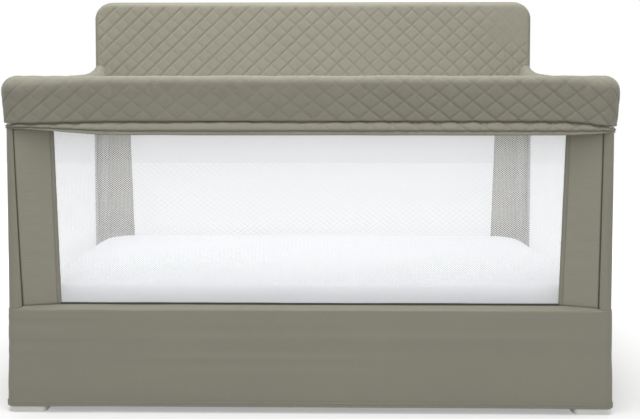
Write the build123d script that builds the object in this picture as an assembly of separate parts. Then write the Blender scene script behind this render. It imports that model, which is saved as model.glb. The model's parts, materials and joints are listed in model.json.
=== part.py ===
from build123d import *
import os
from math import atan2, cos, degrees, hypot, sin, sqrt

# Crib with a tube frame, padded quilted rails, net walls and a mattress on a lifting support.
# Millimetres. X runs to the right, Y to the back, Z up, and the feet stand on Z = 0.

# Mattress, which the crib is built around
mattress_length = 1310.0
mattress_width = 690.0
mattress_height = 139.5
mattress_corner = 90.0
mattress_gap_x = 26.5  # from its ends to the posts' centre lines
mattress_gap_y = 27.5  # from its long sides to them
sheet_thickness = 2.0
sheet_tuck = 70.0  # how far the fitted sheet wraps under the mattress
# How far its sides stand in, at shares of its height: drawn in at mid height, crowned on top
mattress_draw = [(0.0, 12.0), (0.03, 5.0), (0.09, 1.0), (0.2, 0.0), (0.5, 3.0), (0.8, 0.5), (0.9, 4.0),
                 (0.96, 14.0), (0.985, 40.0), (1.0, 110.0)]

# Frame
post_diameter = 32.0
rail_diameter = 25.0
tube_wall = 1.5
top_rail_height = 727.0  # centre of the top rails
lower_rail_height = 50.0  # centre of the lower rails
hub_height = 36.0
hub_edge = 1.5
hub_plug_length = 34.0
rail_plug_length = 35.0
saddle_length = 8.0
plug_gap = 0.2  # a plug inside its tube, all round
seat_gap = 0.2  # a tube end to the hub or saddle that it butts on
screw_gap = 0.1
soft_gap = 0.3  # foam and fabric to what they lie on
overcut = 1.0  # how far a cut runs past the face that it opens

# Feet
foot_height = 14.4
foot_length = 88.0
foot_width = 60.0
foot_corner = 12.0
foot_edge = 2.5
foot_plug_length = 20.0

# Lower rail bolts, top rail screws
bolt_diameter = 6.0
bolt_head_diameter = 12.0
bolt_head_height = 2.0
bolt_stagger = 6.0  # bolts through a post pass above and below each other
bolt_reach = 22.0  # past the saddle, into the plug
screw_diameter = 4.0
screw_head_diameter = 8.0
screw_head_height = 2.0
screw_reach = 17.0
screw_inset = 20.0  # from the tube's end

# Rail covers: rises and drops are from the top rail's centre, the rest is outward from the post line
cover_rise = 53.0
cover_drop = 67.0
cover_inner = -20.5
cover_outer = 34.5
crown_rise = 25.0  # where the outer face is widest
cover_inner_crown = 18.0  # rounding radius on the inner top edge
cover_outer_crown = 22.0
cover_edge = 3.0  # rounding of the inner lower edge
crown_blend = 4.0  # rounding where the outer face is widest
hollow_edge = 1.0
hollow_blend = 2.0
tuck_drop = 52.0
tuck_outer = 28.8
lip_drop = 82.0
lip_outer = 33.0
lip_inner = 28.0
lip_taper = 1.0
lip_blend = 2.0
lip_edge = 0.4
lip_flare_drop = 72.0
cover_wall = 3.0
cover_bend = 21.0  # plan radius of the post line at a cover's corner
post_hole_gap = 1.0  # round the post, in a cover's underside
foam_inset = 45.0  # from a post's centre to the end of a rail's foam

# Side covers sweep up to the headboard: height gained at shares of their length
side_rise = [(0.0, 0.0), (0.40, 7.0), (0.72, 18.0), (0.85, 24.0), (0.92, 31.0), (0.97, 42.0), (1.0, 55.0)]
side_rise_narrowing = 14.0  # how far the outer face draws in at the headboard

# Headboard
headboard_top = 1038.0
headboard_overhang = 18.5  # past the posts' centre lines
headboard_corner = 54.0
headboard_edge = 12.0
headboard_bend = 36.0  # bend radius of the frame's tube
headboard_plug_length = 35.0
headboard_tube_gap = 3.5  # under the cover's top
panel_overlap = 80.0  # the panel's cover below the rail covers' top
panel_hollow_overlap = 60.0

# Quilting
quilt_pitch_x = 52.0
quilt_pitch_z = 50.0
quilt_depth = 2.0
quilt_width = 7.0
quilt_border = 30.0  # from a panel's edge to the ends of the quilting
quilt_rail_margin = 5.0  # the same above the tuck and under the crown

# Post sleeves, strips, net and lower bands
fabric = 1.2
sleeve_diameter = 37.0
sleeve_foot = 25.0  # above the lower rails' centre
sleeve_head = 4.0  # below the rail covers
strip_inner_top = 90.5  # from the post's centre to the net, under the rail
strip_inner_bottom = 103.5
side_strip_inner = 86.0
wall_seam = 250.0  # height of the seam under the net
net_thickness = 0.9
net_strand = 5.0
net_border = 9.0
net_rows = 13
net_columns_long = 21
net_columns_short = 10

# Skirt
skirt_drop = 10.0  # the skirt's upper edge below the seam under the net
shoulder_thickness = 2.0
shoulder_lap = 1.0
skirt_thickness = 1.5
hem_height = 10.0
hem_thickness = 2.7
hem_slope = 1.0
skirt_gap = 0.3  # outside the sleeves

# Mattress support
support_step = 110.0  # between the hook levels
support_levels = 3
stud_height = 109.0  # lowest level
stud_diameter = 8.0
stud_head_diameter = 14.0
stud_head_height = 5.0
insert_diameter = 11.0
insert_flange_diameter = 15.0
insert_flange = 1.0
insert_length = 11.0
hook_thickness = 3.0
hook_half_width = 18.0
hook_offset = 21.0  # from the post's centre to the hook's outer face, along the diagonal
hook_drop = 24.0  # below a stud's centre
hook_rise = 21.5  # from a stud's centre up to the steel frame
hook_tongue = 72.0
hook_slot_gap = 0.3
support_tube_width = 30.0
support_tube_height = 20.0
support_tube_wall = 1.5
support_inset = 15.0  # inside the mattress's outline
support_cross_tubes = 5
hook_bolt_spacing = 22.0
hook_bolt_reach = 6.0  # inside a tube
deck_thickness = 6.0
deck_inset = 0.0  # inside the mattress's outline
deck_corner = 30.0
deck_vent_diameter = 40.0
deck_vent_columns = 8
deck_vent_rows = 3

mattress_half_x = mattress_length / 2
mattress_half_y = mattress_width / 2
half_x = mattress_half_x + mattress_gap_x
half_y = mattress_half_y + mattress_gap_y
headboard_half_width = half_x + headboard_overhang
post_radius = post_diameter / 2
rail_radius = rail_diameter / 2
rail_bore = rail_radius - tube_wall
post_bore = post_radius - tube_wall
sleeve_radius = sleeve_diameter / 2
hub_bottom = top_rail_height - hub_height / 2
hub_top = top_rail_height + hub_height / 2
cover_top = top_rail_height + cover_rise
cover_bottom = top_rail_height - cover_drop
cover_crown_height = top_rail_height + crown_rise
tuck_height = top_rail_height - tuck_drop
lip_bottom = top_rail_height - lip_drop
lip_flare_height = top_rail_height - lip_flare_drop
sleeve_bottom = lower_rail_height + sleeve_foot
sleeve_top = cover_bottom - sleeve_head
wall_top = cover_bottom - soft_gap
skirt_top = wall_seam - skirt_drop
hook_bottom = stud_height - hook_drop
support_bottom = stud_height + hook_rise
support_top = support_bottom + support_tube_height
support_half_x = mattress_half_x - support_inset
support_half_y = mattress_half_y - support_inset
deck_half_x = mattress_half_x - deck_inset
deck_half_y = mattress_half_y - deck_inset
deck_top = support_top + deck_thickness
stud_levels = [stud_height + support_step * level for level in range(support_levels)]

# Each wall is built as the front one, in the plane y = -distance, and then turned.
walls = {
    "front": dict(half=half_x, distance=half_y, turn=0, side=False),
    "back": dict(half=half_x, distance=half_y, turn=180, side=False),
    "left": dict(half=half_y, distance=half_x, turn=-90, side=True),
    "right": dict(half=half_y, distance=half_x, turn=90, side=True),
}
corners = {
    "front_left": (-1, -1),
    "front_right": (1, -1),
    "back_left": (-1, 1),
    "back_right": (1, 1),
}


def save(name, shape):
    solids = list(shape.solids())
    export_step(solids[0] if len(solids) == 1 else Compound(children=solids), f"parts/{name}.step")


def turned(shape, wall):
    return Rot(0, 0, walls[wall]["turn"]) * shape


def rod(radius, start, end):
    start, end = Vector(*start), Vector(*end)
    along = (Align.CENTER, Align.CENTER, Align.MIN)
    return Plane(origin=start, z_dir=end - start) * Cylinder(radius, (end - start).length, align=along)


def tube(radius, bore, start, end):
    start, end = Vector(*start), Vector(*end)
    past = (end - start).normalized()
    return rod(radius, start, end) - rod(bore, start - past, end + past)


def block(low, high):
    size = [b - a for a, b in zip(low, high)]
    return Pos(*low) * Box(*size, align=(Align.MIN, Align.MIN, Align.MIN))


def section_plane(along, distance):
    # Local X is outward from the post line and local Y is up, on the front wall.
    return Plane(origin=(along, -distance, 0), x_dir=(0, -1, 0), z_dir=(-1, 0, 0))


def face_of(points, radii, plane):
    outline = FilletPolyline(*points, radius=radii, close=True)
    return plane * make_face(outline.edges())


# Frame

post_cuts = {corner: [] for corner in corners}
for corner, (sx, sy) in corners.items():
    x, y = sx * half_x, sy * half_y
    through = post_radius + overcut
    low, high = lower_rail_height - bolt_stagger, lower_rail_height + bolt_stagger
    hole = bolt_diameter / 2 + screw_gap
    post_cuts[corner].append(rod(hole, (x - through, y, high), (x + through, y, high)))
    post_cuts[corner].append(rod(hole, (x, y - through, low), (x, y + through, low)))


def diagonal(corner, near, far, height):
    # Two points on the line from a post's centre towards the middle of the crib.
    sx, sy = corners[corner]
    return [(sx * (half_x - d / sqrt(2)), sy * (half_y - d / sqrt(2)), height) for d in (near, far)]


studs, inserts, sleeve_cuts = [], [], []
for corner in corners:
    for level in stud_levels:
        outside = post_radius + insert_flange
        start, end = diagonal(corner, post_radius - insert_length, post_radius + insert_flange / 2, level)
        body = rod(insert_diameter / 2, start, end)
        start, end = diagonal(corner, post_radius, outside, level)
        flange = rod(insert_flange_diameter / 2, start, end)
        start, end = diagonal(corner, 0, sleeve_radius + overcut, level)
        thread = rod(stud_diameter / 2 + screw_gap, start, end)
        inner_post = Pos(*[s * h for s, h in zip(corners[corner], (half_x, half_y))], 0)
        seat = inner_post * Cylinder(post_radius, 2 * headboard_top)
        inserts.append(body + (flange - seat) - thread)
        post_cuts[corner].append(rod(insert_diameter / 2 + screw_gap, start, end))
        sleeve_cuts.append(rod(insert_flange_diameter / 2 + soft_gap, start, end))
    head_start = hook_offset + hook_thickness + hook_slot_gap
    start, end = diagonal(corner, post_radius - insert_length, head_start + stud_head_height / 2, stud_height)
    shank = rod(stud_diameter / 2, start, end)
    start, end = diagonal(corner, head_start, head_start + stud_head_height, stud_height)
    studs.append(shank + rod(stud_head_diameter / 2, start, end))

for corner, (sx, sy) in corners.items():
    x, y = sx * half_x, sy * half_y
    post = tube(post_radius, post_bore, (x, y, foot_height), (x, y, hub_bottom))
    save(f"post_{corner}", post - post_cuts[corner])
save("support_studs", Compound(children=[s.solid() for s in studs]))
save("stud_inserts", Compound(children=[s.solid() for s in inserts]))

feet = []
for sx, sy in corners.values():
    outer_x, outer_y = sx * (half_x + sleeve_radius), sy * (half_y + sleeve_radius)
    plate = Box(foot_length, foot_width, foot_height, align=(Align.CENTER, Align.CENTER, Align.MIN))
    plate = fillet(plate.edges().filter_by(Axis.Z), foot_corner)
    plate = chamfer(plate.faces().sort_by(Axis.Z)[-1].edges(), foot_edge)
    plate = Pos(outer_x - sx * foot_length / 2, outer_y - sy * foot_width / 2, 0) * plate
    plug = rod(post_bore - plug_gap, (sx * half_x, sy * half_y, foot_height / 2),
               (sx * half_x, sy * half_y, foot_height + foot_plug_length))
    feet.append((plate + plug).solid())
save("feet", Compound(children=feet))

rail_end = post_radius + seat_gap
lower_end = post_radius + saddle_length
sockets, bolts, rail_screws, plugs_cut = [], [], [], []
for wall, w in walls.items():
    y = -w["distance"]
    rail = tube(rail_radius, rail_bore, (rail_end - w["half"], y, top_rail_height),
                (w["half"] - rail_end, y, top_rail_height))
    lower = tube(rail_radius, rail_bore, (lower_end + seat_gap - w["half"], y, lower_rail_height),
                 (w["half"] - lower_end - seat_gap, y, lower_rail_height))
    bolt_height = lower_rail_height + (-bolt_stagger if w["side"] else bolt_stagger)
    for end in (-1, 1):
        centre = end * w["half"]
        under = top_rail_height - rail_radius
        x = centre - end * (rail_end + screw_inset)
        screw = rod(screw_diameter / 2, (x, y, under), (x, y, under + screw_reach))
        head = rod(screw_head_diameter / 2, (x, y, under - screw_head_height), (x, y, under))
        clearance = rod(screw_diameter / 2 + screw_gap, (x, y, under - overcut),
                        (x, y, under + screw_reach + overcut))
        rail = rail - clearance
        seated = head - rod(rail_radius, (x - screw_head_diameter, y, top_rail_height),
                            (x + screw_head_diameter, y, top_rail_height))
        rail_screws.append(turned(screw + seated, wall).solid())
        plugs_cut.append(turned(clearance, wall))
        at = (centre, y, lower_rail_height)
        saddle = rod(rail_radius, at, (centre - end * lower_end, y, lower_rail_height))
        plug_end = centre - end * (lower_end + rail_plug_length)
        plug = rod(rail_bore - plug_gap, at, (plug_end, y, lower_rail_height))
        seat = Pos(centre, y, 0) * Cylinder(post_radius, 2 * headboard_top)
        bolt_start = centre + end * post_radius
        bolt_end = centre - end * (lower_end + bolt_reach)
        shank = rod(bolt_diameter / 2, (bolt_start, y, bolt_height), (bolt_end, y, bolt_height))
        bolt_head = rod(bolt_head_diameter / 2, (bolt_start, y, bolt_height),
                        (bolt_start + end * bolt_head_height, y, bolt_height))
        hole = rod(bolt_diameter / 2 + screw_gap, (bolt_start, y, bolt_height),
                   (bolt_end - end * overcut, y, bolt_height))
        sockets.append(turned(saddle + plug - seat - hole, wall).solid())
        bolts.append(turned(shank + bolt_head, wall).solid())
    save(f"top_rail_{wall}", turned(rail, wall))
    save(f"lower_rail_{wall}", turned(lower, wall))
save("lower_rail_sockets", Compound(children=sockets))
save("lower_rail_bolts", Compound(children=bolts))

headboard_screws = []
leg_screw_height = hub_top + screw_inset
for corner, (sx, sy) in corners.items():
    x, y = sx * half_x, sy * half_y
    hub = rod(post_radius, (x, y, hub_bottom), (x, y, hub_top))
    hub = fillet(hub.faces().sort_by(Axis.Z)[-1].edges(), hub_edge)
    hub += rod(post_bore - plug_gap, (x, y, hub_bottom - hub_plug_length), (x, y, top_rail_height))
    reach = post_radius + rail_plug_length
    arm = rail_bore - plug_gap
    hub += rod(arm, (x, y, top_rail_height), (x - sx * reach, y, top_rail_height))
    hub += rod(arm, (x, y, top_rail_height), (x, y - sy * reach, top_rail_height))
    if sy > 0:
        hub += rod(arm, (x, y, top_rail_height), (x, y, hub_top + headboard_plug_length))
        back = y + rail_radius
        shank = rod(screw_diameter / 2, (x, back, leg_screw_height), (x, back - screw_reach, leg_screw_height))
        head = rod(screw_head_diameter / 2, (x, back, leg_screw_height),
                   (x, back + screw_head_height, leg_screw_height))
        clearance = rod(screw_diameter / 2 + screw_gap, (x, back + overcut, leg_screw_height),
                        (x, back - screw_reach - overcut, leg_screw_height))
        headboard_screws.append(clearance)
        leg = rod(rail_radius, (x, y, leg_screw_height - screw_head_diameter),
                  (x, y, leg_screw_height + screw_head_diameter))
        rail_screws.append((shank + (head - leg)).solid())
        hub -= clearance
    near = [c for c in plugs_cut if hypot(c.center().X - x, c.center().Y - y) < reach]
    save(f"top_hub_{corner}", hub - near)
save("rail_screws", Compound(children=rail_screws))

frame_top = headboard_top - cover_wall - rail_radius - headboard_tube_gap
leg_foot = hub_top + seat_gap
frame_path = FilletPolyline(
    (-half_x, half_y, leg_foot), (-half_x, half_y, frame_top), (half_x, half_y, frame_top),
    (half_x, half_y, leg_foot), radius=headboard_bend)
ring = Plane(origin=(-half_x, half_y, leg_foot)) * (Circle(rail_radius) - Circle(rail_bore))
save("headboard_frame", sweep(ring, path=frame_path) - headboard_screws)

# Foam and quilted covers


def cover_section(plane, top=cover_top, narrowing=0.0):
    points = [
        (cover_inner, cover_bottom), (cover_inner, top), (cover_outer - narrowing, top),
        (cover_outer, cover_crown_height), (tuck_outer, tuck_height),
        (lip_outer, lip_flare_height), (lip_outer - lip_taper, lip_bottom), (lip_inner, lip_bottom),
        (lip_inner, cover_bottom),
    ]
    radii = [cover_edge, cover_inner_crown, cover_outer_crown, crown_blend, 0, lip_blend, lip_edge, lip_edge, 0]
    return face_of(points, radii, plane)


def hollow_section(plane, gap=0.0):
    wall = cover_wall + gap
    points = [
        (cover_inner + wall, cover_bottom + wall), (cover_inner + wall, cover_top - wall),
        (cover_outer - wall, cover_top - wall), (cover_outer - wall, cover_crown_height),
        (tuck_outer - wall, tuck_height), (tuck_outer - wall, cover_bottom + wall),
    ]
    radii = [hollow_edge, cover_inner_crown - wall, cover_outer_crown - wall, crown_blend, hollow_blend,
             hollow_edge]
    return face_of(points, radii, plane)


def diagonals(width, low, high, hand):
    # The ends of the quilting lines that lean one way inside a rectangle.
    slope = quilt_pitch_x / quilt_pitch_z
    count = int((width / 2 + (high - low) * slope) / quilt_pitch_x) + 1
    lines = []
    for k in range(-count, count + 1):
        ends = []
        for z in (low, high):
            x = k * quilt_pitch_x + hand * (z - low) * slope
            clipped = max(-width / 2, min(width / 2, x))
            ends.append((clipped, z + hand * (clipped - x) / slope))
        if hypot(ends[0][0] - ends[1][0], ends[0][1] - ends[1][1]) > quilt_pitch_x:
            lines.append(ends)
    return lines


def groove(start, end, place):
    # A V groove between two points of the place's own X and Y, cut down its Z.
    length = hypot(end[0] - start[0], end[1] - start[1])
    turn = degrees(atan2(end[1] - start[1], end[0] - start[0]))
    lift = quilt_depth / 4  # the cutter starts above the face
    half = quilt_width / 2 * (quilt_depth + lift) / quilt_depth
    wedge = Plane.YZ * make_face(Polyline((-half, lift), (half, lift), (0, -quilt_depth), (-half, lift)))
    return place * Pos(start[0], start[1], 0) * Rot(0, 0, turn) * extrude(wedge, length)


def quilted(shape, face, width, low, high):
    for hand in (1, -1):
        shape -= [groove(start, end, face) for start, end in diagonals(width, low, high, hand)]
    return shape


def end_cover(distance, half):
    # The cover of a long rail runs round both corners.
    seam = cover_bend - distance
    path = TangentArc((-half, seam, 0), (cover_bend - half, -distance, 0), tangent=(0, -1, 0))
    path += Line((cover_bend - half, -distance, 0), (half - cover_bend, -distance, 0))
    path += TangentArc((half - cover_bend, -distance, 0), (half, seam, 0), tangent=(1, 0, 0))
    start = Plane(origin=(-half, seam, 0), x_dir=(-1, 0, 0), z_dir=(0, 1, 0))
    outer = sweep(cover_section(start), path=path)
    hollow = sweep(hollow_section(start), path=path)
    holes = [rod(post_radius + post_hole_gap, (s * half, -distance, cover_bottom - overcut),
                 (s * half, -distance, cover_bottom + cover_wall + overcut)) for s in (-1, 1)]
    return outer, hollow, holes


front_outer, front_hollow, front_holes = end_cover(half_y, half_x)
face_lean = atan2(cover_outer - tuck_outer, cover_crown_height - tuck_height)
face_height = hypot(cover_outer - tuck_outer, cover_crown_height - tuck_height)


def quilted_rail(shape, half, distance):
    # The quilting on a rail cover's outer face, which leans in towards the tuck.
    face = Plane(origin=(0, -distance - tuck_outer, tuck_height), x_dir=(1, 0, 0),
                 z_dir=(0, -cos(face_lean), -sin(face_lean)))
    return quilted(shape, face, 2 * (half - quilt_border), quilt_rail_margin, face_height - quilt_rail_margin)


save("rail_cover_front", quilted_rail(front_outer - front_hollow - front_holes, half_x, half_y))


def side_cover(half, distance, back_sign):
    # Built as the front wall: the end at X = back_sign * half meets the headboard.
    length = 2 * (half - cover_bend) - 2 * seat_gap
    sections = []
    for share, rise in side_rise:
        along = -back_sign * length / 2 + back_sign * share * length
        narrowing = side_rise_narrowing * rise / side_rise[-1][1]
        sections.append(cover_section(section_plane(along, distance), cover_top + rise, narrowing))
    outer = loft(sections, ruled=True)
    hollow = extrude(hollow_section(section_plane(-length, distance)), 2 * length, dir=(1, 0, 0))
    return outer - hollow


for wall, back_sign in (("left", -1), ("right", 1)):
    side = quilted_rail(side_cover(half_y, half_x, back_sign), half_y, half_x)
    save(f"rail_cover_{wall}", turned(side, wall))

back = Rot(0, 0, 180)
panel_front = half_y + cover_inner
panel_back = half_y + cover_outer
panel_middle = (panel_front + panel_back) / 2
panel_foot = cover_top - panel_overlap
panel_hollow_foot = cover_top - panel_hollow_overlap


def panel_plate(half_width, low, high, corner, thickness):
    # A standing plate in the headboard's plane, with its two upper corners rounded.
    outline = FilletPolyline(
        (-half_width, low), (-half_width, high), (half_width, high), (half_width, low),
        radius=[0, corner, corner, 0], close=True)
    standing = Plane(origin=(0, panel_middle, 0), x_dir=(1, 0, 0), z_dir=(0, -1, 0))
    return extrude(standing * make_face(outline.edges()), thickness / 2, both=True)


panel = panel_plate(headboard_half_width, panel_foot, headboard_top, headboard_corner, panel_back - panel_front)
round_edges = [e for e in panel.faces().sort_by(Axis.Y)[0].edges() + panel.faces().sort_by(Axis.Y)[-1].edges()
               if e.center().Z > panel_foot + overcut]
panel = fillet(round_edges, headboard_edge)
panel_hollow = panel_plate(headboard_half_width - cover_wall, panel_hollow_foot, headboard_top - cover_wall,
                           headboard_corner - cover_wall, panel_back - panel_front - 2 * cover_wall)
panel_hollow = fillet([e for e in panel_hollow.faces().sort_by(Axis.Y)[0].edges()
                       + panel_hollow.faces().sort_by(Axis.Y)[-1].edges()
                       if e.center().Z > panel_hollow_foot + overcut], headboard_edge - cover_wall)
quilt_plane = Plane(origin=(0, panel_front, 0), x_dir=(1, 0, 0), z_dir=(0, -1, 0))
back_shell = back * (front_outer - front_holes) + panel
back_shell = back_shell - (back * front_hollow) - panel_hollow
save("headboard_cover", quilted(back_shell, quilt_plane, 2 * (headboard_half_width - quilt_border),
                                panel_foot + quilt_border, headboard_top - quilt_border))

for wall, w in walls.items():
    length = 2 * (w["half"] - foam_inset)
    foam = extrude(hollow_section(section_plane(-length / 2, w["distance"]), soft_gap), length, dir=(1, 0, 0))
    foam -= rod(rail_radius + soft_gap, (-length, -w["distance"], top_rail_height),
                (length, -w["distance"], top_rail_height))
    if wall == "back":
        foam -= block((-length, -2 * w["distance"], hub_top), (length, 0, cover_top))
    save(f"rail_foam_{wall}", turned(foam, wall))

foam_half = half_x - rail_radius - soft_gap
foam_top = frame_top - rail_radius - soft_gap
headboard_foam = panel_plate(foam_half, hub_top + soft_gap, foam_top, headboard_bend - rail_radius,
                             panel_back - panel_front - 2 * cover_wall - 2 * soft_gap)
save("headboard_foam", headboard_foam)

# Fabric walls

sleeves = []
for corner, (sx, sy) in corners.items():
    x, y = sx * half_x, sy * half_y
    sleeve = tube(sleeve_radius, post_radius + soft_gap, (x, y, sleeve_bottom), (x, y, sleeve_top))
    near = [c for c in sleeve_cuts if hypot(c.center().X - x, c.center().Y - y) < post_diameter]
    sleeves.append((sleeve - near).solid())
save("post_sleeves", Compound(children=sleeves))


def upright_sheet(points, thickness, distance):
    # A flat sheet in a wall's plane from points of (along, height).
    plane = Plane(origin=(0, -distance, 0), x_dir=(1, 0, 0), z_dir=(0, -1, 0))
    return extrude(plane * make_face(Polyline(*points, close=True)), thickness / 2, both=True)


def net(corners_of_net, columns, rows, distance):
    # A net is one flat face with diamond gaps, in rows set half a gap apart.
    (x0, z0), (x1, _), (_, z1), _ = corners_of_net
    top_half = corners_of_net[2][0]
    plane = Plane(origin=(0, -distance, 0), x_dir=(1, 0, 0), z_dir=(0, -1, 0))
    low, high = z0 + net_border, z1 - net_border
    step = 2 * (high - low) / (rows + 1)
    gaps = []
    for row in range(rows):
        z = low + step / 2 * (row + 1)
        half_width = x1 + (top_half - x1) * (z - z0) / (z1 - z0) - net_border
        pitch = 2 * half_width / columns
        count = columns if row % 2 == 0 else columns - 1
        half_gap, half_rise = pitch / 2 - net_strand / 2, step / 2 - net_strand / 2
        for k in range(count):
            x = (k - (count - 1) / 2) * pitch
            diamond = [(x - half_gap, z), (x, z - half_rise), (x + half_gap, z), (x, z + half_rise)]
            gaps.append(Polyline(*diamond, close=True).wire())
    outline = Polyline(*corners_of_net, close=True).wire()
    return extrude(plane * Face(outline, gaps), net_thickness / 2, both=True)


strips = {corner: [] for corner in corners}
strip_corner = {
    ("front", -1): "front_left", ("front", 1): "front_right",
    ("back", -1): "back_right", ("back", 1): "back_left",
    ("left", -1): "back_left", ("left", 1): "front_left",
    ("right", -1): "front_right", ("right", 1): "back_right",
}
for wall, w in walls.items():
    outer = w["half"] - sleeve_radius - soft_gap
    top_inner = w["half"] - (side_strip_inner if w["side"] else strip_inner_top)
    low_inner = w["half"] - (side_strip_inner if w["side"] else strip_inner_bottom)
    for end in (-1, 1):
        points = [(end * outer, wall_seam), (end * outer, wall_top), (end * top_inner, wall_top),
                  (end * low_inner, wall_seam)]
        strip = turned(upright_sheet(points, fabric, w["distance"]), wall)
        strips[strip_corner[wall, end]].append(strip.solid())
    low, top = low_inner - seat_gap, top_inner - seat_gap
    outline = [(-low, wall_seam + seat_gap), (low, wall_seam + seat_gap), (top, wall_top), (-top, wall_top)]
    columns = net_columns_short if w["side"] else net_columns_long
    save(f"net_{wall}", turned(net(outline, columns, net_rows, w["distance"]), wall))

    band_end = w["half"] - sleeve_radius - soft_gap
    points = [(-band_end, lower_rail_height), (band_end, lower_rail_height),
              (band_end, wall_seam - seat_gap), (-band_end, wall_seam - seat_gap)]
    band = upright_sheet(points, fabric, w["distance"])
    casing = rail_radius + soft_gap
    centre = (-w["distance"], lower_rail_height)
    socket_end = w["half"] - lower_end - seat_gap
    band += rod(casing + fabric, (-socket_end, *centre), (socket_end, *centre))
    band -= rod(casing, (-w["half"], *centre), (w["half"], *centre))
    save(f"lower_band_{wall}", turned(band, wall))
for corner in corners:
    save(f"corner_strips_{corner}", Compound(children=strips[corner]))

# Skirt: outside the posts, over a sloping shoulder from the seam under the net

skirt_inner = sleeve_radius + skirt_gap
for wall, w in walls.items():
    half, y = w["half"], -w["distance"]
    outer = skirt_inner + skirt_thickness
    hem = skirt_inner + hem_thickness
    profile = [(skirt_inner, foot_height), (skirt_inner, skirt_top), (outer, skirt_top),
               (outer, foot_height + hem_height), (hem, foot_height + hem_height - hem_slope), (hem, foot_height)]
    length = 2 * half - 2 * seat_gap
    plane = section_plane(-length / 2, w["distance"])
    panel_face = plane * make_face(Polyline(*profile, close=True))
    skirt = extrude(panel_face, length, dir=(1, 0, 0))
    if not w["side"]:
        for end in (-1, 1):
            at = section_plane(end * half, w["distance"])
            corner_face = at * make_face(Polyline(*profile, close=True))
            bend = revolve(corner_face, Axis((end * half, y, 0), (0, 0, end)), 90)
            bridge = extrude(corner_face, 2 * seat_gap, dir=(-end, 0, 0))
            skirt += [bend, bridge]
    shoulder_end = half - sleeve_radius - 2 * soft_gap
    lap = wall_seam - shoulder_lap
    slope = [(fabric / 2 + soft_gap, lap - shoulder_thickness), (fabric / 2 + soft_gap, lap),
             (skirt_inner + skirt_thickness, skirt_top), (skirt_inner, skirt_top - shoulder_thickness)]
    shoulder = extrude(section_plane(-shoulder_end, w["distance"]) * make_face(Polyline(*slope, close=True)),
                       2 * shoulder_end, dir=(1, 0, 0))
    save(f"skirt_{wall}", turned(skirt + shoulder, wall))

# Mattress support: a steel frame under a deck board, hung from the studs by a hook at each corner


def box_tube(start, end, width, low, high, wall):
    # A rectangular tube lying along X or Y, open at its ends.
    (x0, y0), (x1, y1) = start, end
    if y0 == y1:
        outer = block((x0, y0 - width / 2, low), (x1, y0 + width / 2, high))
        inner = block((x0 - overcut, y0 - width / 2 + wall, low + wall),
                      (x1 + overcut, y0 + width / 2 - wall, high - wall))
    else:
        outer = block((x0 - width / 2, y0, low), (x0 + width / 2, y1, high))
        inner = block((x0 - width / 2 + wall, y0 - overcut, low + wall),
                      (x0 + width / 2 - wall, y1 + overcut, high - wall))
    return outer - inner


long_y = support_half_y - support_tube_width / 2
cross_x = support_half_x - support_tube_width / 2
hook_bolts, hooks, bolt_holes = [], [], []
hook_face = hook_offset + hook_thickness
for corner, (sx, sy) in corners.items():
    turn = degrees(atan2(-sy, -sx))
    place = Pos(sx * half_x, sy * half_y, 0) * Rot(0, 0, turn)
    plate = block((hook_offset, -hook_half_width, hook_bottom), (hook_face, hook_half_width, support_bottom))
    tongue = block((hook_offset, -hook_half_width, support_bottom - hook_thickness),
                   (hook_offset + hook_tongue, hook_half_width, support_bottom))
    slot_half = stud_diameter / 2 + hook_slot_gap
    slot = block((hook_offset - overcut, -slot_half, hook_bottom - overcut),
                 (hook_face + overcut, slot_half, stud_height))
    slot += rod(slot_half, (hook_offset - overcut, 0, stud_height), (hook_face + overcut, 0, stud_height))
    hook = plate + tongue - slot
    for side in (-1, 1):
        # One bolt goes up into the long tube and one into the cross tube.
        target = (sx * (cross_x - (side < 0) * hook_bolt_spacing), sy * (long_y - (side > 0) * hook_bolt_spacing))
        low = support_bottom - hook_thickness
        shank = rod(bolt_diameter / 2, (*target, low),
                    (*target, support_bottom + support_tube_wall + hook_bolt_reach))
        head = rod(bolt_head_diameter / 2, (*target, low - bolt_head_height), (*target, low))
        hole = rod(bolt_diameter / 2 + screw_gap, (*target, low - overcut),
                   (*target, support_bottom + support_tube_wall + overcut))
        bolt_holes.append(hole)
        hook_bolts.append((shank + head).solid())
    hooks.append((place * hook - bolt_holes).solid())
save("hook_plates", Compound(children=hooks))
save("hook_bolts", Compound(children=hook_bolts))

long_tubes = [box_tube((-support_half_x, s * long_y), (support_half_x, s * long_y), support_tube_width,
                       support_bottom, support_top, support_tube_wall) - bolt_holes for s in (-1, 1)]
save("support_long_tubes", Compound(children=[t.solid() for t in long_tubes]))
cross_end = support_half_y - support_tube_width
cross_tubes = []
for k in range(support_cross_tubes):
    x = -cross_x + 2 * cross_x * k / (support_cross_tubes - 1)
    cross = box_tube((x, -cross_end), (x, cross_end), support_tube_width, support_bottom, support_top,
                     support_tube_wall)
    cross_tubes.append((cross - bolt_holes).solid())
save("support_cross_tubes", Compound(children=cross_tubes))

deck = Pos(0, 0, support_top) * Box(2 * deck_half_x, 2 * deck_half_y, deck_thickness,
                                    align=(Align.CENTER, Align.CENTER, Align.MIN))
deck = fillet(deck.edges().filter_by(Axis.Z), deck_corner)
vents = []
for column in range(deck_vent_columns):
    for row in range(deck_vent_rows):
        x = (column - (deck_vent_columns - 1) / 2) * 2 * deck_half_x / (deck_vent_columns + 1)
        y = (row - (deck_vent_rows - 1) / 2) * 2 * deck_half_y / (deck_vent_rows + 1)
        vents.append(rod(deck_vent_diameter / 2, (x, y, support_top - overcut), (x, y, deck_top + overcut)))
save("deck_board", deck - vents)

# Mattress: a foam core in a fitted sheet, crowned, with its sides drawn in


def mattress_body(inset, bottom, height):
    sections = []
    for share, draw in mattress_draw:
        half_width, half_depth = mattress_half_x - inset - draw, mattress_half_y - inset - draw
        sections.append(Pos(0, 0, bottom + share * height) * RectangleRounded(
            2 * half_width, 2 * half_depth, mattress_corner - inset))
    return loft(sections, ruled=True)


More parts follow.
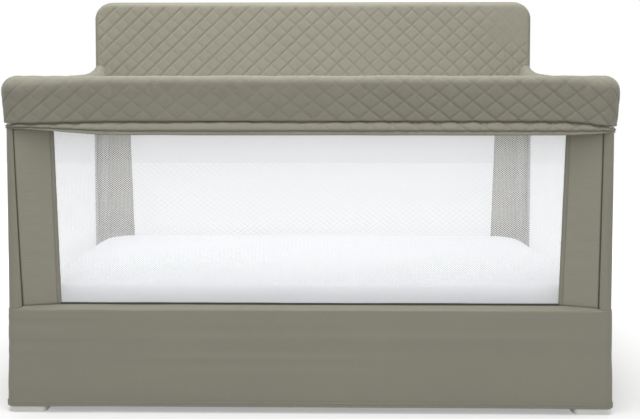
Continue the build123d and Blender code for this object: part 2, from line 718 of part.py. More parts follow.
mattress_bottom = deck_top + soft_gap
core_inset = sheet_thickness + soft_gap
sheet = mattress_body(0, mattress_bottom, mattress_height)
core = mattress_body(core_inset, mattress_bottom + core_inset, mattress_height - 2 * core_inset)
cavity = mattress_body(sheet_thickness, mattress_bottom + sheet_thickness,
                       mattress_height - 2 * sheet_thickness)
opening = block((sheet_tuck - mattress_half_x, sheet_tuck - mattress_half_y, mattress_bottom - overcut),
                (mattress_half_x - sheet_tuck, mattress_half_y - sheet_tuck, mattress_bottom + 2 * core_inset))
save("mattress_core", core)
save("fitted_sheet", sheet - cavity - opening)
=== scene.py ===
import bmesh
import bpy
import json
import math
import numpy as np
from mathutils import Matrix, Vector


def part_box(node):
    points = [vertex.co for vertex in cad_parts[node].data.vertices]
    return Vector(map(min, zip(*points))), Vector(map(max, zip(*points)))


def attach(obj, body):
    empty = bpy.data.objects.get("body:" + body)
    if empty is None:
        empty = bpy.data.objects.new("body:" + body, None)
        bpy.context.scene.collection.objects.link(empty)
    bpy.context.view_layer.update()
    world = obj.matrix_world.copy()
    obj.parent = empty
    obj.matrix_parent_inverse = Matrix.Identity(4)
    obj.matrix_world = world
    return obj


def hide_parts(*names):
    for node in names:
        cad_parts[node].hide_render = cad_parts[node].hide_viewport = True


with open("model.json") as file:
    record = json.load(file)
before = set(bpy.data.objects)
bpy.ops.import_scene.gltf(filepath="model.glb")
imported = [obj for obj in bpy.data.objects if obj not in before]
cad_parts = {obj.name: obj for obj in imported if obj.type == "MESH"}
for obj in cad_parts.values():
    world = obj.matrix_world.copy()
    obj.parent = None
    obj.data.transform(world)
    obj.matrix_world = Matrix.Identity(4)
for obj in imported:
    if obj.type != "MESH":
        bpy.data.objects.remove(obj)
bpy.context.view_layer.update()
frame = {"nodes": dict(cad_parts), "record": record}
print("frame loaded:", len(frame["nodes"]), "nodes")

# Lengths are in metres. Out is the distance outward from the line through the post centres.
walls = {"front": 0, "right": 90, "back": 180, "left": -90}  # degrees that each is turned from the front one
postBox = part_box("post_front_left")
halfX = -(postBox[0].x + postBox[1].x) / 2
halfY = -(postBox[0].y + postBox[1].y) / 2

camera = dict(
    place=(0.0261, -2.2175, 0.7249), lens=45.04, sensor=36.0,
    down=2.56, right=-0.79, shiftX=0.0170, shiftY=-0.1150)

light = dict(
    worldStrength=0.45, worldWarmth=(1.0, 0.995, 0.98),
    topPlace=(-0.2, -0.55, 2.6), topSize=2.0, topPower=58.0,
    frontPlace=(1.5, -3.6, 2.9), frontSize=3.4, frontPower=32.0,
    floorAlbedo=0.62, floorLift=0.35, farLift=0.86)

# seam is a near-black cloth colour: painted shade on thin pieces that stand for dark shadow lines.
colours = dict(
    quilt=(0.266, 0.256, 0.203), plain=(0.280, 0.271, 0.217), seam=(0.085, 0.083, 0.068),
    thread=(0.33, 0.32, 0.26), sheet=(0.75, 0.76, 0.785), net=(0.88, 0.885, 0.90), foam=(0.80, 0.76, 0.62))


def deselect():
    if bpy.context.object and bpy.context.object.mode != "OBJECT":
        bpy.ops.object.mode_set(mode="OBJECT")
    bpy.ops.object.select_all(action="DESELECT")


def choose(piece):
    deselect()
    piece.select_set(True)
    bpy.context.view_layer.objects.active = piece


def vertexPlaces(piece):
    places = np.empty(len(piece.data.vertices) * 3)
    piece.data.vertices.foreach_get("co", places)
    return places.reshape(-1, 3)


def setPlaces(piece, places):
    piece.data.vertices.foreach_set("co", np.ascontiguousarray(places).ravel())
    piece.data.update()


def ease(value, start, end):
    share = np.clip((value - start) / (end - start), 0, 1)
    return share * share * (3 - 2 * share)


noiseTable = np.random.default_rng(11).random((12, 64, 64)) * 2 - 1


def softNoise(x, y, layer=0):
    # Smooth noise from -1 to 1, with hills about one unit apart.
    table = noiseTable[layer]
    x, y = np.broadcast_arrays(np.asarray(x, float), np.asarray(y, float))
    cellX, cellY = np.floor(x).astype(int), np.floor(y).astype(int)
    fx, fy = x - cellX, y - cellY
    fx, fy = fx * fx * (3 - 2 * fx), fy * fy * (3 - 2 * fy)
    x0, x1, y0, y1 = cellX % 64, (cellX + 1) % 64, cellY % 64, (cellY + 1) % 64
    low = table[x0, y0] * (1 - fx) + table[x1, y0] * fx
    high = table[x0, y1] * (1 - fx) + table[x1, y1] * fx
    return low * (1 - fy) + high * fy


def roundedPath(points, radii, rows):
    # The points with their corners rounded, spread over rows steps of equal length.
    line = [np.array(points[0], float)]
    for before, corner, after, radius in zip(points, points[1:], points[2:], radii):
        before, corner, after = (np.array(p, float) for p in (before, corner, after))
        a, b = before - corner, after - corner
        a, b = a / np.linalg.norm(a), b / np.linalg.norm(b)
        half = math.acos(max(-1, min(1, a @ b))) / 2
        if radius < 0.01 or half > 1.55:
            line.append(corner)
            continue
        reach = radius / math.tan(half)
        middle = corner + (a + b) / np.linalg.norm(a + b) * radius / math.sin(half)
        start, end = corner + a * reach - middle, corner + b * reach - middle
        turn = math.pi - 2 * half
        for k in range(9):
            share = k / 8
            swing = start * math.sin((1 - share) * turn) + end * math.sin(share * turn)
            line.append(middle + swing / math.sin(turn))
    line.append(np.array(points[-1], float))
    line = np.array(line)
    run = np.concatenate([[0], np.cumsum(np.linalg.norm(np.diff(line, axis=0), axis=1))])
    at = np.linspace(0, run[-1], rows + 1)
    return np.column_stack([np.interp(at, run, line[:, k]) for k in (0, 1)])


def editMesh(piece, selected, *steps):
    # Edit-mode steps on one piece, which begin with all of it or none of it selected.
    choose(piece)
    bpy.ops.object.mode_set(mode="EDIT")
    bpy.ops.mesh.select_all(action=selected)
    for operator, settings in steps:
        operator(**settings)
    bpy.ops.object.mode_set(mode="OBJECT")


def mergeClose(piece, distance):
    editMesh(piece, "SELECT", (bpy.ops.mesh.remove_doubles, {"threshold": distance}))


def flipFaces(piece):
    editMesh(piece, "SELECT", (bpy.ops.mesh.flip_normals, {}))


def faceOutward(piece):
    editMesh(piece, "SELECT", (bpy.ops.mesh.normals_make_consistent, {"inside": False}))


def closeEnds(piece):
    # Flat caps on the open ends of a stuffed roll.
    editMesh(piece, "DESELECT", (bpy.ops.mesh.select_non_manifold, {"extend": False}),
             (bpy.ops.mesh.fill_holes, {"sides": 0}))


def giveThickness(piece, thickness, offset=-1.0):
    choose(piece)
    wall = piece.modifiers.new("wall", "SOLIDIFY")
    wall.thickness, wall.offset = thickness, offset
    bpy.ops.object.modifier_apply(modifier="wall")


def cornerVertices(piece):
    corner = np.empty(len(piece.data.loops), int)
    piece.data.loops.foreach_get("vertex_index", corner)
    return corner


def gridPiece(name, columns, rows, place, joinEnds=0.0):
    # A flat grid is added, and each vertex goes where place says for its column and row.
    deselect()
    bpy.ops.mesh.primitive_grid_add(x_subdivisions=columns, y_subdivisions=rows, size=1)
    piece = bpy.context.active_object
    piece.name = piece.data.name = name
    flat = vertexPlaces(piece) + 0.5
    places, chart = place(np.rint(flat[:, 0] * columns).astype(int), np.rint(flat[:, 1] * rows).astype(int))
    setPlaces(piece, places)
    piece.data.uv_layers[0].data.foreach_set("uv", chart[cornerVertices(piece)].ravel())
    if joinEnds:
        mergeClose(piece, joinEnds)
    bpy.ops.object.shade_smooth()
    return piece


def tablePiece(name, places, chart, joinEnds=0.0):
    # The same from whole tables of places and chart, (columns, rows, 3) and (columns, rows, 2).
    return gridPiece(name, places.shape[0] - 1, places.shape[1] - 1, lambda i, j: (places[i, j], chart[i, j]),
                     joinEnds)


def sweep(base, outward, out, height):
    # Places of a section given by its distance out and its height, set along a line in plan.
    return np.stack([base[:, None, 0] + outward[:, None, 0] * out, base[:, None, 1] + outward[:, None, 1] * out,
                     height + 0 * out], axis=2)


def sewPiece(piece, gridColumn, gridRow, rising, falling, sewnAt, mergeDistance):
    # Quilts a piece. rising and falling say how strongly each hand of lines shows, which the material reads to paint
    # shade along the creases.
    # Cells that a line crosses are split along it, so that it stays straight: sewnAt gives a cell's column and row.
    columns, rows, n = gridColumn.shape[0] - 1, gridColumn.shape[1] - 1, quilt["steps"]
    values = np.stack([rising.T, falling.T, 0 * rising.T], axis=2)
    drawn = piece.data.attributes.new("drawn", "FLOAT_VECTOR", "POINT")
    drawn.data.foreach_set("vector", np.ascontiguousarray(values, dtype=float).ravel())
    pitches = np.stack([(gridColumn - gridRow) / n, (gridColumn + gridRow) / n], axis=2)
    corner = cornerVertices(piece)
    sewing = piece.data.uv_layers.new(name="sewing")
    sewing.data.foreach_set("uv", pitches[corner % (columns + 1), corner // (columns + 1)].ravel())
    mesh = bmesh.new()
    mesh.from_mesh(piece.data)
    mesh.faces.ensure_lookup_table()
    for k, face in enumerate([mesh.faces[k] for k in range(columns * rows)]):
        sewn = sewnAt(k % columns, k // columns)
        if sewn is None:
            continue
        v = list(face.verts)
        if (sewn[0] - sewn[1]) % n == 0:
            bmesh.utils.face_split(face, v[0], v[2])
        elif (sewn[0] + 1 + sewn[1]) % n == 0:
            bmesh.utils.face_split(face, v[1], v[3])
    mesh.to_mesh(piece.data)
    mesh.free()
    mergeClose(piece, mergeDistance)
    closeEnds(piece)
    bpy.ops.object.shade_smooth()
    return piece


def turnPlaces(places, degrees):
    angle = math.radians(degrees)
    c, s = math.cos(angle), math.sin(angle)
    return np.column_stack([c * places[:, 0] - s * places[:, 1], s * places[:, 0] + c * places[:, 1], places[:, 2]])


# Materials


class Recipe:
    # The nodes of one material, or of the world, added in the order in which they feed each other.
    def __init__(self, owner):
        owner.use_nodes = True
        self.owner, self.nodes, self.links = owner, owner.node_tree.nodes, owner.node_tree.links
        self.shader = self.nodes.get("Principled BSDF")

    def feed(self, socket, value):
        if isinstance(value, bpy.types.NodeSocket):
            self.links.new(value, socket)
        else:
            socket.default_value = value

    def node(self, kind, inputs=None, **settings):
        made = self.nodes.new("ShaderNode" + kind)
        for key, value in settings.items():
            setattr(made, key, value)
        for key, value in (inputs or {}).items():
            self.feed(made.inputs[key], value)
        return made

    def math(self, operation, *values):
        made = self.node("Math", operation=operation)
        for socket, value in zip(made.inputs, values):
            self.feed(socket, value)
        return made.outputs[0]

    def mix(self, share, first, second, blend="MIX"):
        made = self.node("Mix", data_type="RGBA", blend_type=blend)
        for k, value in ((0, share), (6, first), (7, second)):
            self.feed(made.inputs[k], (*value, 1.0) if isinstance(value, tuple) else value)
        return made.outputs[2]

    def split(self, vector):
        return self.node("SeparateXYZ", {"Vector": vector}).outputs

    def stretched(self, place, scale):
        return self.node("Mapping", {"Vector": place, "Scale": scale}).outputs[0]

    def seenDirectly(self):
        # 1 for the camera and for what metal or glass mirrors, 0 for the light that falls on the object.
        ray = self.node("LightPath").outputs
        return self.math("MAXIMUM", ray["Is Camera Ray"],
                         self.math("MAXIMUM", ray["Is Glossy Ray"], ray["Is Transmission Ray"]))

    def finish(self, body, height, strength, distance, rough, spread=None):
        # Colour, relief and roughness go to the shader. spread moves the roughness within its range.
        relief = self.node("Bump", {"Strength": strength, "Distance": distance, "Height": height})
        if spread is not None:
            rough = self.node("MapRange", {"Value": spread, "To Min": rough[0], "To Max": rough[1]}).outputs[0]
        for name, value in (("Base Color", body), ("Normal", relief.outputs[0]), ("Roughness", rough)):
            self.feed(self.shader.inputs[name], value)
        return self.owner


def scaled(colour, factor):
    return tuple(min(1.0, c * factor) for c in colour)


def sewnQuilting(recipe, body, height, chart, colour):
    # Diamonds of sewing: painted shade darkening the cloth along each crease, and a thread with gaps between its
    # stitches.
    pitches = recipe.split(recipe.node("UVMap", uv_map="sewing").outputs[0])
    hands = recipe.split(recipe.node("Attribute", attribute_name="drawn").outputs["Vector"])
    nearest = creaseShade = None
    for pitch, hand in zip(pitches, hands[:2]):
        off = recipe.math("PINGPONG", pitch, 0.5)
        line = recipe.math("MULTIPLY", recipe.math("EXPONENT", recipe.math("MULTIPLY", off, -55.0)), hand)
        nearest = off if nearest is None else recipe.math("MINIMUM", nearest, off)
        creaseShade = line if creaseShade is None else recipe.math("MAXIMUM", creaseShade, line)
    # Painted shade: the cloth is darker along the creases.
    body = recipe.mix(recipe.math("MULTIPLY", creaseShade, 0.45), body, scaled(colour, 0.5))
    run = recipe.math("MULTIPLY", recipe.math("ADD", chart[0], chart[1]), 260.0)
    stitch = recipe.math("LESS_THAN", recipe.math("FRACT", run), 0.72)
    thread = recipe.math("MULTIPLY", recipe.math("LESS_THAN", nearest, 0.010), stitch)
    body = recipe.mix(recipe.math("MULTIPLY", thread, 0.55), body, colours["thread"])
    return body, recipe.math("ADD", height, recipe.math("MULTIPLY", thread, 1.5))


def stitchedRow(recipe, body, place, chart, colour):
    # A straight row of machine stitches at one place across the cloth, with painted shade in a shallow furrow along
    # it.
    off = recipe.math("ABSOLUTE", recipe.math("SUBTRACT", chart[1], place))
    stitch = recipe.math("LESS_THAN", recipe.math("FRACT", recipe.math("MULTIPLY", chart[0], 330.0)), 0.7)
    line = recipe.math("MULTIPLY", recipe.math("LESS_THAN", off, 0.0006), stitch)
    # Painted shade: a darker band stands for the furrow along the stitches.
    furrowShade = recipe.math("MULTIPLY", recipe.math("LESS_THAN", off, 0.0014), 0.35)
    body = recipe.mix(furrowShade, body, scaled(colour, 0.5))
    return recipe.mix(recipe.math("MULTIPLY", line, 0.6), body, colours["thread"])


def clothMaterial(name, colour, threads=0.0006, sheen=0.25, mottle=0.10, grain=(1.0, 1.0, 1.0), quilted=False,
                  stitchRows=(), rough=(0.78, 0.94), glow=0.0):
    # Woven cloth. The piece's own chart is in metres, and quilted cloth has a second one in sewing pitches.
    recipe = Recipe(bpy.data.materials.new(name))
    where = recipe.node("TexCoord").outputs
    chart = recipe.split(where["UV"])
    across, along = (recipe.math("SINE", recipe.math("MULTIPLY", chart[k], math.tau / threads)) for k in (0, 1))
    weave = recipe.math("MULTIPLY", across, along)
    patches = recipe.node("TexNoise", {"Vector": where["Object"], "Scale": 5.0, "Detail": 3.0, "Roughness": 0.55})
    fibres = recipe.node("TexNoise", {"Vector": recipe.stretched(where["Object"], grain), "Scale": 420.0,
                                      "Detail": 2.0, "Roughness": 0.6})
    body = recipe.mix(patches.outputs[0], scaled(colour, 1 - mottle), scaled(colour, 1 + mottle))
    fibreShade = recipe.mix(fibres.outputs[0], (1 - 1.6 * mottle,) * 3, (1.12,) * 3)
    body = recipe.mix(1.0, body, fibreShade, "MULTIPLY")
    height = recipe.math("ADD", recipe.math("MULTIPLY", weave, 0.35), fibres.outputs[0])
    if quilted:
        body, height = sewnQuilting(recipe, body, height, chart, colour)
    for place in stitchRows:
        body = stitchedRow(recipe, body, place, chart, colour)
    # White bed linen and net send out a little bluish light of their own: a painted glow, which lifts them evenly, in
    # shade too.
    for socket, value in (("Sheen Weight", sheen), ("Sheen Roughness", 0.45), ("Specular IOR Level", 0.2),
                          ("Emission Color", (0.88, 0.92, 1.0, 1.0)), ("Emission Strength", glow)):
        recipe.shader.inputs[socket].default_value = value
    return recipe.finish(body, height, 0.35, 0.0004, rough, patches.outputs[0])


def hardMaterial(name, colour, rough, metal=0.0, grain=60.0, wear=0.06):
    # Painted tube, moulded plastic or steel: colour drifts a little, and the finish carries fine scuffs.
    recipe = Recipe(bpy.data.materials.new(name))
    where = recipe.node("TexCoord").outputs["Object"]
    scuffs = recipe.node("TexNoise", {"Vector": where, "Scale": grain, "Detail": 6.0, "Roughness": 0.6}).outputs[0]
    clouds = recipe.node("TexNoise", {"Vector": where, "Scale": 9.0, "Detail": 2.0}).outputs[0]
    body = recipe.mix(clouds, scaled(colour, 1 - wear), scaled(colour, 1 + wear))
    recipe.shader.inputs["Metallic"].default_value = metal
    return recipe.finish(body, scuffs, 0.12, 0.0003, rough, scuffs)


def foamMaterial(name, colour):
    recipe = Recipe(bpy.data.materials.new(name))
    where = recipe.node("TexCoord").outputs["Object"]
    cells = recipe.node("TexVoronoi", {"Vector": where, "Scale": 700.0}).outputs["Distance"]
    return recipe.finish(recipe.mix(cells, scaled(colour, 0.8), colour), cells, 0.4, 0.0005, 0.95)


def woodMaterial(name):
    recipe = Recipe(bpy.data.materials.new(name))
    where = recipe.stretched(recipe.node("TexCoord").outputs["Object"], (1.2, 14.0, 14.0))
    grain = recipe.node("TexNoise", {"Vector": where, "Scale": 4.0, "Detail": 8.0, "Roughness": 0.65,
                                     "Distortion": 0.6}).outputs[0]
    return recipe.finish(recipe.mix(grain, (0.36, 0.23, 0.12), (0.72, 0.55, 0.36)), grain, 0.2, 0.0005, 0.6)


quiltedCloth = clothMaterial("quiltedCloth", colours["quilt"], mottle=0.045, quilted=True)
# The headboard's cloth is the quilted cloth made 10% lighter: painted light for the stronger light on the headboard.
paintedLightBoardCloth = clothMaterial("paintedLightBoardCloth", scaled(colours["quilt"], 1.10), mottle=0.045, quilted=True)
plainCloth = clothMaterial("plainCloth", colours["plain"], mottle=0.05)
stripCloth = clothMaterial("stripCloth", scaled(colours["plain"], 1.10), threads=0.0012, mottle=0.06,
                           grain=(0.05, 0.05, 1.3))
bindingCloth = clothMaterial("bindingCloth", colours["plain"], mottle=0.06, stitchRows=(0.0022, 0.0078))
hemCloth = clothMaterial("hemCloth", colours["plain"], mottle=0.05, stitchRows=(0.0070, 0.0105))
# Painted shade: near-black cloth for the headboard piping, the strip edges at the sleeves and the net tape.
seamCloth = clothMaterial("seamCloth", colours["seam"], mottle=0.05, sheen=0.1)
# glow is painted light: the sheet and the net glow a little.
whiteSheet = clothMaterial("whiteSheet", colours["sheet"], threads=0.0005, sheen=0.1, mottle=0.015,
                           rough=(0.85, 0.95), glow=0.16)
netThread = clothMaterial("netThread", colours["net"], threads=0.0004, sheen=0.15, mottle=0.02, glow=0.08)
foam = foamMaterial("foamCells", colours["foam"])
frameMaterials = {
    "frame_tube": hardMaterial("enamelledTube", (0.80, 0.80, 0.79), rough=(0.28, 0.42)),
    "fastener_steel": hardMaterial("turnedSteel", (0.56, 0.56, 0.57), rough=(0.22, 0.40), metal=1.0, grain=180.0),
    "support_steel": hardMaterial("powderCoatedSteel", (0.76, 0.76, 0.75), rough=(0.42, 0.58), grain=500.0),
    "foot_white": hardMaterial("mouldedFoot", (0.93, 0.93, 0.90), rough=(0.40, 0.55), grain=220.0, wear=0.03),
    "joint_grey": hardMaterial("mouldedJoint", (0.36, 0.37, 0.36), rough=(0.38, 0.52), grain=300.0),
    "deck_wood": woodMaterial("birchPly"),
    "plain_fabric": plainCloth, "quilted_fabric": quiltedCloth, "foam": foam, "net": netThread,
    "sheet_white": whiteSheet,
}
for part in frame["record"]["subparts"]:
    cadPiece = frame["nodes"][part["node"]]
    cadPiece.data.materials.clear()
    cadPiece.data.materials.append(frameMaterials[part["material_slot"]])
print("materials made")


def finishPiece(piece, material, nodes, body="crib_frame"):
    piece.data.materials.clear()
    piece.data.materials.append(material)
    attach(piece, body)
    if nodes:
        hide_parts(*nodes)
    return piece


# Quilted rail covers

quilt = dict(
    pitchAlong=0.0516, steps=16,  # a sewing pitch has this many grid steps
    depth=0.0022, level=0.80, softness=0.048, shift=0.0100, firstCrossing=4, mergeDistance=0.00005,
    undulation=0.0009, ridges=0.00035, puckers=0.0013, puckerHeight=0.7515, puckerReach=0.0125,
    pulledRow=39, pulledReach=9.0, pulledLoss=0.55, lipStrength=1.1)

cover = dict(
    top=0.780, inner=-0.0205, outer=0.0345, innerRadius=0.018, bottom=0.660, bend=0.021,
    faceRows=108, underRows=9, hemRows=6, lipRows=9,
    shapes=dict(
        middle=dict(crown=0.759, crownRadius=0.0175, tuck=0.6760, lipBottom=0.6454, flare=0.0032, tuckDepth=0.0225),
        left=dict(crown=0.743, crownRadius=0.0340, tuck=0.6710, lipBottom=0.6600, flare=-0.0080, tuckDepth=0.0215),
        right=dict(crown=0.743, crownRadius=0.0340, tuck=0.6640, lipBottom=0.6505, flare=-0.0080, tuckDepth=0.0215)))


def coverSection(crown, crownRadius, tuck, lipBottom, flare, tuckDepth):
    # One turn round the cover: up the outer face from the tuck, over the top, down inside, and out to the lip.
    c = cover
    face = roundedPath(
        [(tuckDepth, tuck), (0.0290, tuck + 0.0022), (c["outer"], crown), (c["outer"], c["top"]),
         (c["inner"], c["top"]), (c["inner"], c["bottom"]), (c["inner"] + 0.006, c["bottom"])],
        [0.0015, 0.004, crownRadius, c["innerRadius"], 0.003], c["faceRows"])
    hemTop = lipBottom + 0.0092 * (tuck - lipBottom) / 0.0306
    back = min(flare, 0)
    under = roundedPath([(c["inner"] + 0.006, c["bottom"]), (0.0262 + back, c["bottom"]), (0.0286 + back, lipBottom)],
                        [0.001], c["underRows"])
    hem = roundedPath([(0.0286 + back, lipBottom), (0.0362 + flare, lipBottom), (0.0328 + flare, hemTop)], [0.0005],
                      c["hemRows"])
    lip = roundedPath([(0.0306 + flare, hemTop + 0.0003), (0.0356 + flare, hemTop + 0.0020),
                       (0.0312 + flare, (hemTop + tuck) / 2 + 0.001), (tuckDepth, tuck)], [0.0012, 0.010],
                      c["lipRows"])
    return np.vstack([face, under[1:], hem[1:], lip])


section = {place: coverSection(**sizes) for place, sizes in cover["shapes"].items()}
lipStart = cover["faceRows"] + cover["underRows"] + cover["hemRows"] + 1


def sectionNormals(points):
    # Unit normals, outward, of closed sections held as (columns, rows, 2).
    step = np.roll(points, -1, axis=1) - np.roll(points, 1, axis=1)
    step[:, 0], step[:, -1] = step[:, 1], step[:, -2]
    length = np.maximum(np.linalg.norm(step, axis=2, keepdims=True), 1e-9)
    step = step / length
    return np.stack([step[..., 1], -step[..., 0]], axis=2)


def quiltRelief(column, row, rising, falling):
    # 0 on a sewing line and 1 on the pillows between them. rising and falling say how deep each hand is drawn in.
    n = quilt["steps"]
    a, b = (column - row) / n, (column + row) / n
    offA, offB = np.abs(a - np.rint(a)), np.abs(b - np.rint(b))
    dome = np.sqrt(np.clip(4 * offA * offB, 0, 1))
    creased = np.maximum(rising * np.exp(-offA / quilt["softness"]), falling * np.exp(-offB / quilt["softness"]))
    return 1 - creased + 0.25 * dome

def rowStrength(rows):
    # How strongly the quilting shows along a section: full on the face, weaker where the cloth is pulled over.
    row = np.arange(rows + 1)
    pulled = np.exp(-((row - quilt["pulledRow"]) / quilt["pulledReach"]) ** 2)
    strength = ease(row, 0, 2) * (1 - quilt["pulledLoss"] * pulled)
    strength[cover["faceRows"] + 1:lipStart] = 0
    strength[lipStart:] = quilt["lipStrength"]
    strength[-1] = 0
    return strength


def bolster(name, sections, base, outward, columnStep, run, layer, rising, falling):
    # sections (columns, rows, 2); base and outward are (columns, 2) in plan; run is the length along the outer face.
    q, rows = quilt, sections.shape[1] - 1
    gridColumn, gridRow = np.meshgrid(columnStep, np.arange(rows + 1), indexing="ij")
    sewnRow = np.where(gridRow > lipStart, gridRow - rows, gridRow) - q["firstCrossing"]
    relief = quiltRelief(gridColumn, sewnRow, rising[:, None], falling[:, None])
    strength = rowStrength(rows)[None, :]
    away = q["depth"] * strength * (relief - q["level"])
    along = run[:, None] * np.ones((1, rows + 1))
    away += q["undulation"] * softNoise(along / 0.085, gridRow / 22.0, layer) * ease(gridRow, 0, 6)
    away += q["ridges"] * softNoise(along / 0.011, gridRow / 16.0, layer + 1) * strength
    under = np.exp(-((sections[..., 1] - q["puckerHeight"]) / q["puckerReach"]) ** 2) * (gridRow < 60)
    gather = ease(softNoise(along / 0.16, gridRow * 0.0 + 3.5, layer), -0.55, 0.45)
    away += q["puckers"] * under * gather * softNoise(along / 0.0090, gridRow / 30.0, layer + 2)
    moved = sections + sectionNormals(sections) * away[..., None]
    middle = section["middle"]
    path = np.concatenate([[0], np.cumsum(np.linalg.norm(np.diff(middle, axis=0), axis=1))])
    chart = np.stack([along, np.broadcast_to(path[None, :], along.shape)], axis=2)
    piece = tablePiece(name, sweep(base, outward, moved[..., 0], moved[..., 1]), chart)
    wholeColumn = np.rint(columnStep).astype(int)

    def sewnAt(i, j):
        if cover["faceRows"] <= j < lipStart:
            return None
        return wholeColumn[i], (j - rows if j >= lipStart else j) - q["firstCrossing"]

    return sewPiece(piece, gridColumn, sewnRow, rising[:, None] * strength, falling[:, None] * strength, sewnAt,
                    q["mergeDistance"])


def endCoverLine():
    # Columns of the front cover, measured along its outer face from the middle, and their places in plan.
    step = quilt["pitchAlong"] / quilt["steps"]
    straight = halfX - cover["bend"]
    arc = (cover["bend"] + cover["outer"]) * math.pi / 2
    count = int((straight + arc) / step)
    run = np.concatenate([[-straight - arc], np.arange(-count, count + 1) * step + quilt["shift"], [straight + arc]])
    run = np.unique(np.round(run[(run >= -straight - arc) & (run <= straight + arc)], 6))
    turn = np.clip((np.abs(run) - straight) / arc, 0, 1) * math.pi / 2 * np.sign(run)
    outward = np.column_stack([np.sin(turn), -np.cos(turn)])
    centres = np.column_stack([np.clip(run, -straight, straight), np.full(len(run), -halfY + cover["bend"])])
    return run, (run - quilt["shift"]) / step, centres + outward * cover["bend"], outward, straight


def endCover(name, layer, mirrored=False):
    run, columnStep, base, outward, straight = endCoverLine()
    toLeft = ease(-run, straight - 0.24, straight + 0.050)[:, None, None]
    toRight = ease(run, straight - 0.09, straight + 0.050)[:, None, None]
    sections = (section["middle"][None] * (1 - toLeft - toRight) + section["left"][None] * toLeft
                + section["right"][None] * toRight)
    rising = 0.30 + 0.55 * ease(-run, 0.30, straight) + 0.35 * ease(run, -0.1, 0.35)
    falling = 0.25 + 0.75 * ease(run, -0.15, 0.30)
    piece = bolster(name, sections, base, outward, columnStep, run, layer, rising, falling)
    if mirrored:
        setPlaces(piece, turnPlaces(vertexPlaces(piece), 180))
    return piece


def finishCover(piece, nodes):
    finishPiece(piece, quiltedCloth, nodes)


finishCover(endCover("frontRailCover", 0), ["rail_cover_front", "rail_foam_front"])
finishCover(endCover("backRailCover", 3, mirrored=True), ["rail_foam_back"])
print("front and back rail covers made")

sideRise = dict(
    shares=(0.0, 0.40, 0.72, 0.85, 0.92, 0.97, 1.0), rises=(0.0, 0.007, 0.018, 0.024, 0.031, 0.042, 0.055),
    start=0.735, narrowing=0.014, seamGap=0.0002, drawn=0.7)


def sideCover(name, side, layer):
    # Runs from the front seam to the headboard, and its top sweeps up to it.
    s = sideRise
    step = quilt["pitchAlong"] / quilt["steps"]
    end = halfY - cover["bend"] - s["seamGap"]
    count = int(end / step)
    run = np.concatenate([[-end], np.arange(-count, count + 1) * step, [end]])
    share = (run + end) / (2 * end) if side > 0 else (end - run) / (2 * end)
    rise = np.interp(share, s["shares"], s["rises"])
    for _ in range(3):
        rise[1:-1] = (rise[:-2] + 2 * rise[1:-1] + rise[2:]) / 4
    front = (1 - ease(share, 0.0, 0.14))[:, None, None]
    sections = section["middle"][None] * (1 - front) + section["right" if side > 0 else "left"][None] * front
    lift = np.clip((sections[..., 1] - s["start"]) / (cover["top"] - s["start"]), 0, 1)
    draw = ease(sections[..., 1], 0.745, 0.780) * ease(sections[..., 0], 0.0, 0.030)
    narrow = s["narrowing"] * rise / s["rises"][-1]
    sections = sections + np.stack([-draw * narrow[:, None], lift * rise[:, None]], axis=2)
    # Seen from outside, the right wall runs to the back and the left one to the front.
    base = np.column_stack([np.full(len(run), side * halfX), side * run])
    outward = np.column_stack([np.full(len(run), float(side)), np.zeros(len(run))])
    drawn = np.full(len(run), s["drawn"])
    return bolster(name, sections, base, outward, run / step, run, layer, drawn, drawn)


for side, label, layer in ((1, "right", 5), (-1, "left", 7)):
    finishCover(sideCover(f"{label}RailCover", side, layer), [f"rail_cover_{label}", f"rail_foam_{label}"])
print("side rail covers made")

# Headboard

board = dict(
    halfWidth=0.700, top=1.038, corner=0.054, front=0.3516, back=0.4066, foot=0.664, backFoot=0.752, edge=0.017,
    pitchAlong=0.0530, pitchUp=0.0498, depth=0.0026, level=0.9, edgeSteps=7, mergeDistance=0.00008,
    undulation=0.0011, ridges=0.00035, mostPush=0.0012, calmLoss=0.75, calmAlong=(0.52, 0.60), calmUp=(0.88, 0.93),
    gathers=((1, 0.0026), (-1, 0.0014)), gatherPlace=(0.69, 0.845), gatherReach=(0.115, 0.095))


def boardTop(x):
    b = board
    over = np.clip(np.abs(x) - (b["halfWidth"] - b["corner"]), 0, b["corner"])
    return b["top"] - b["corner"] + np.sqrt(np.maximum(b["corner"] ** 2 - over ** 2, 0))


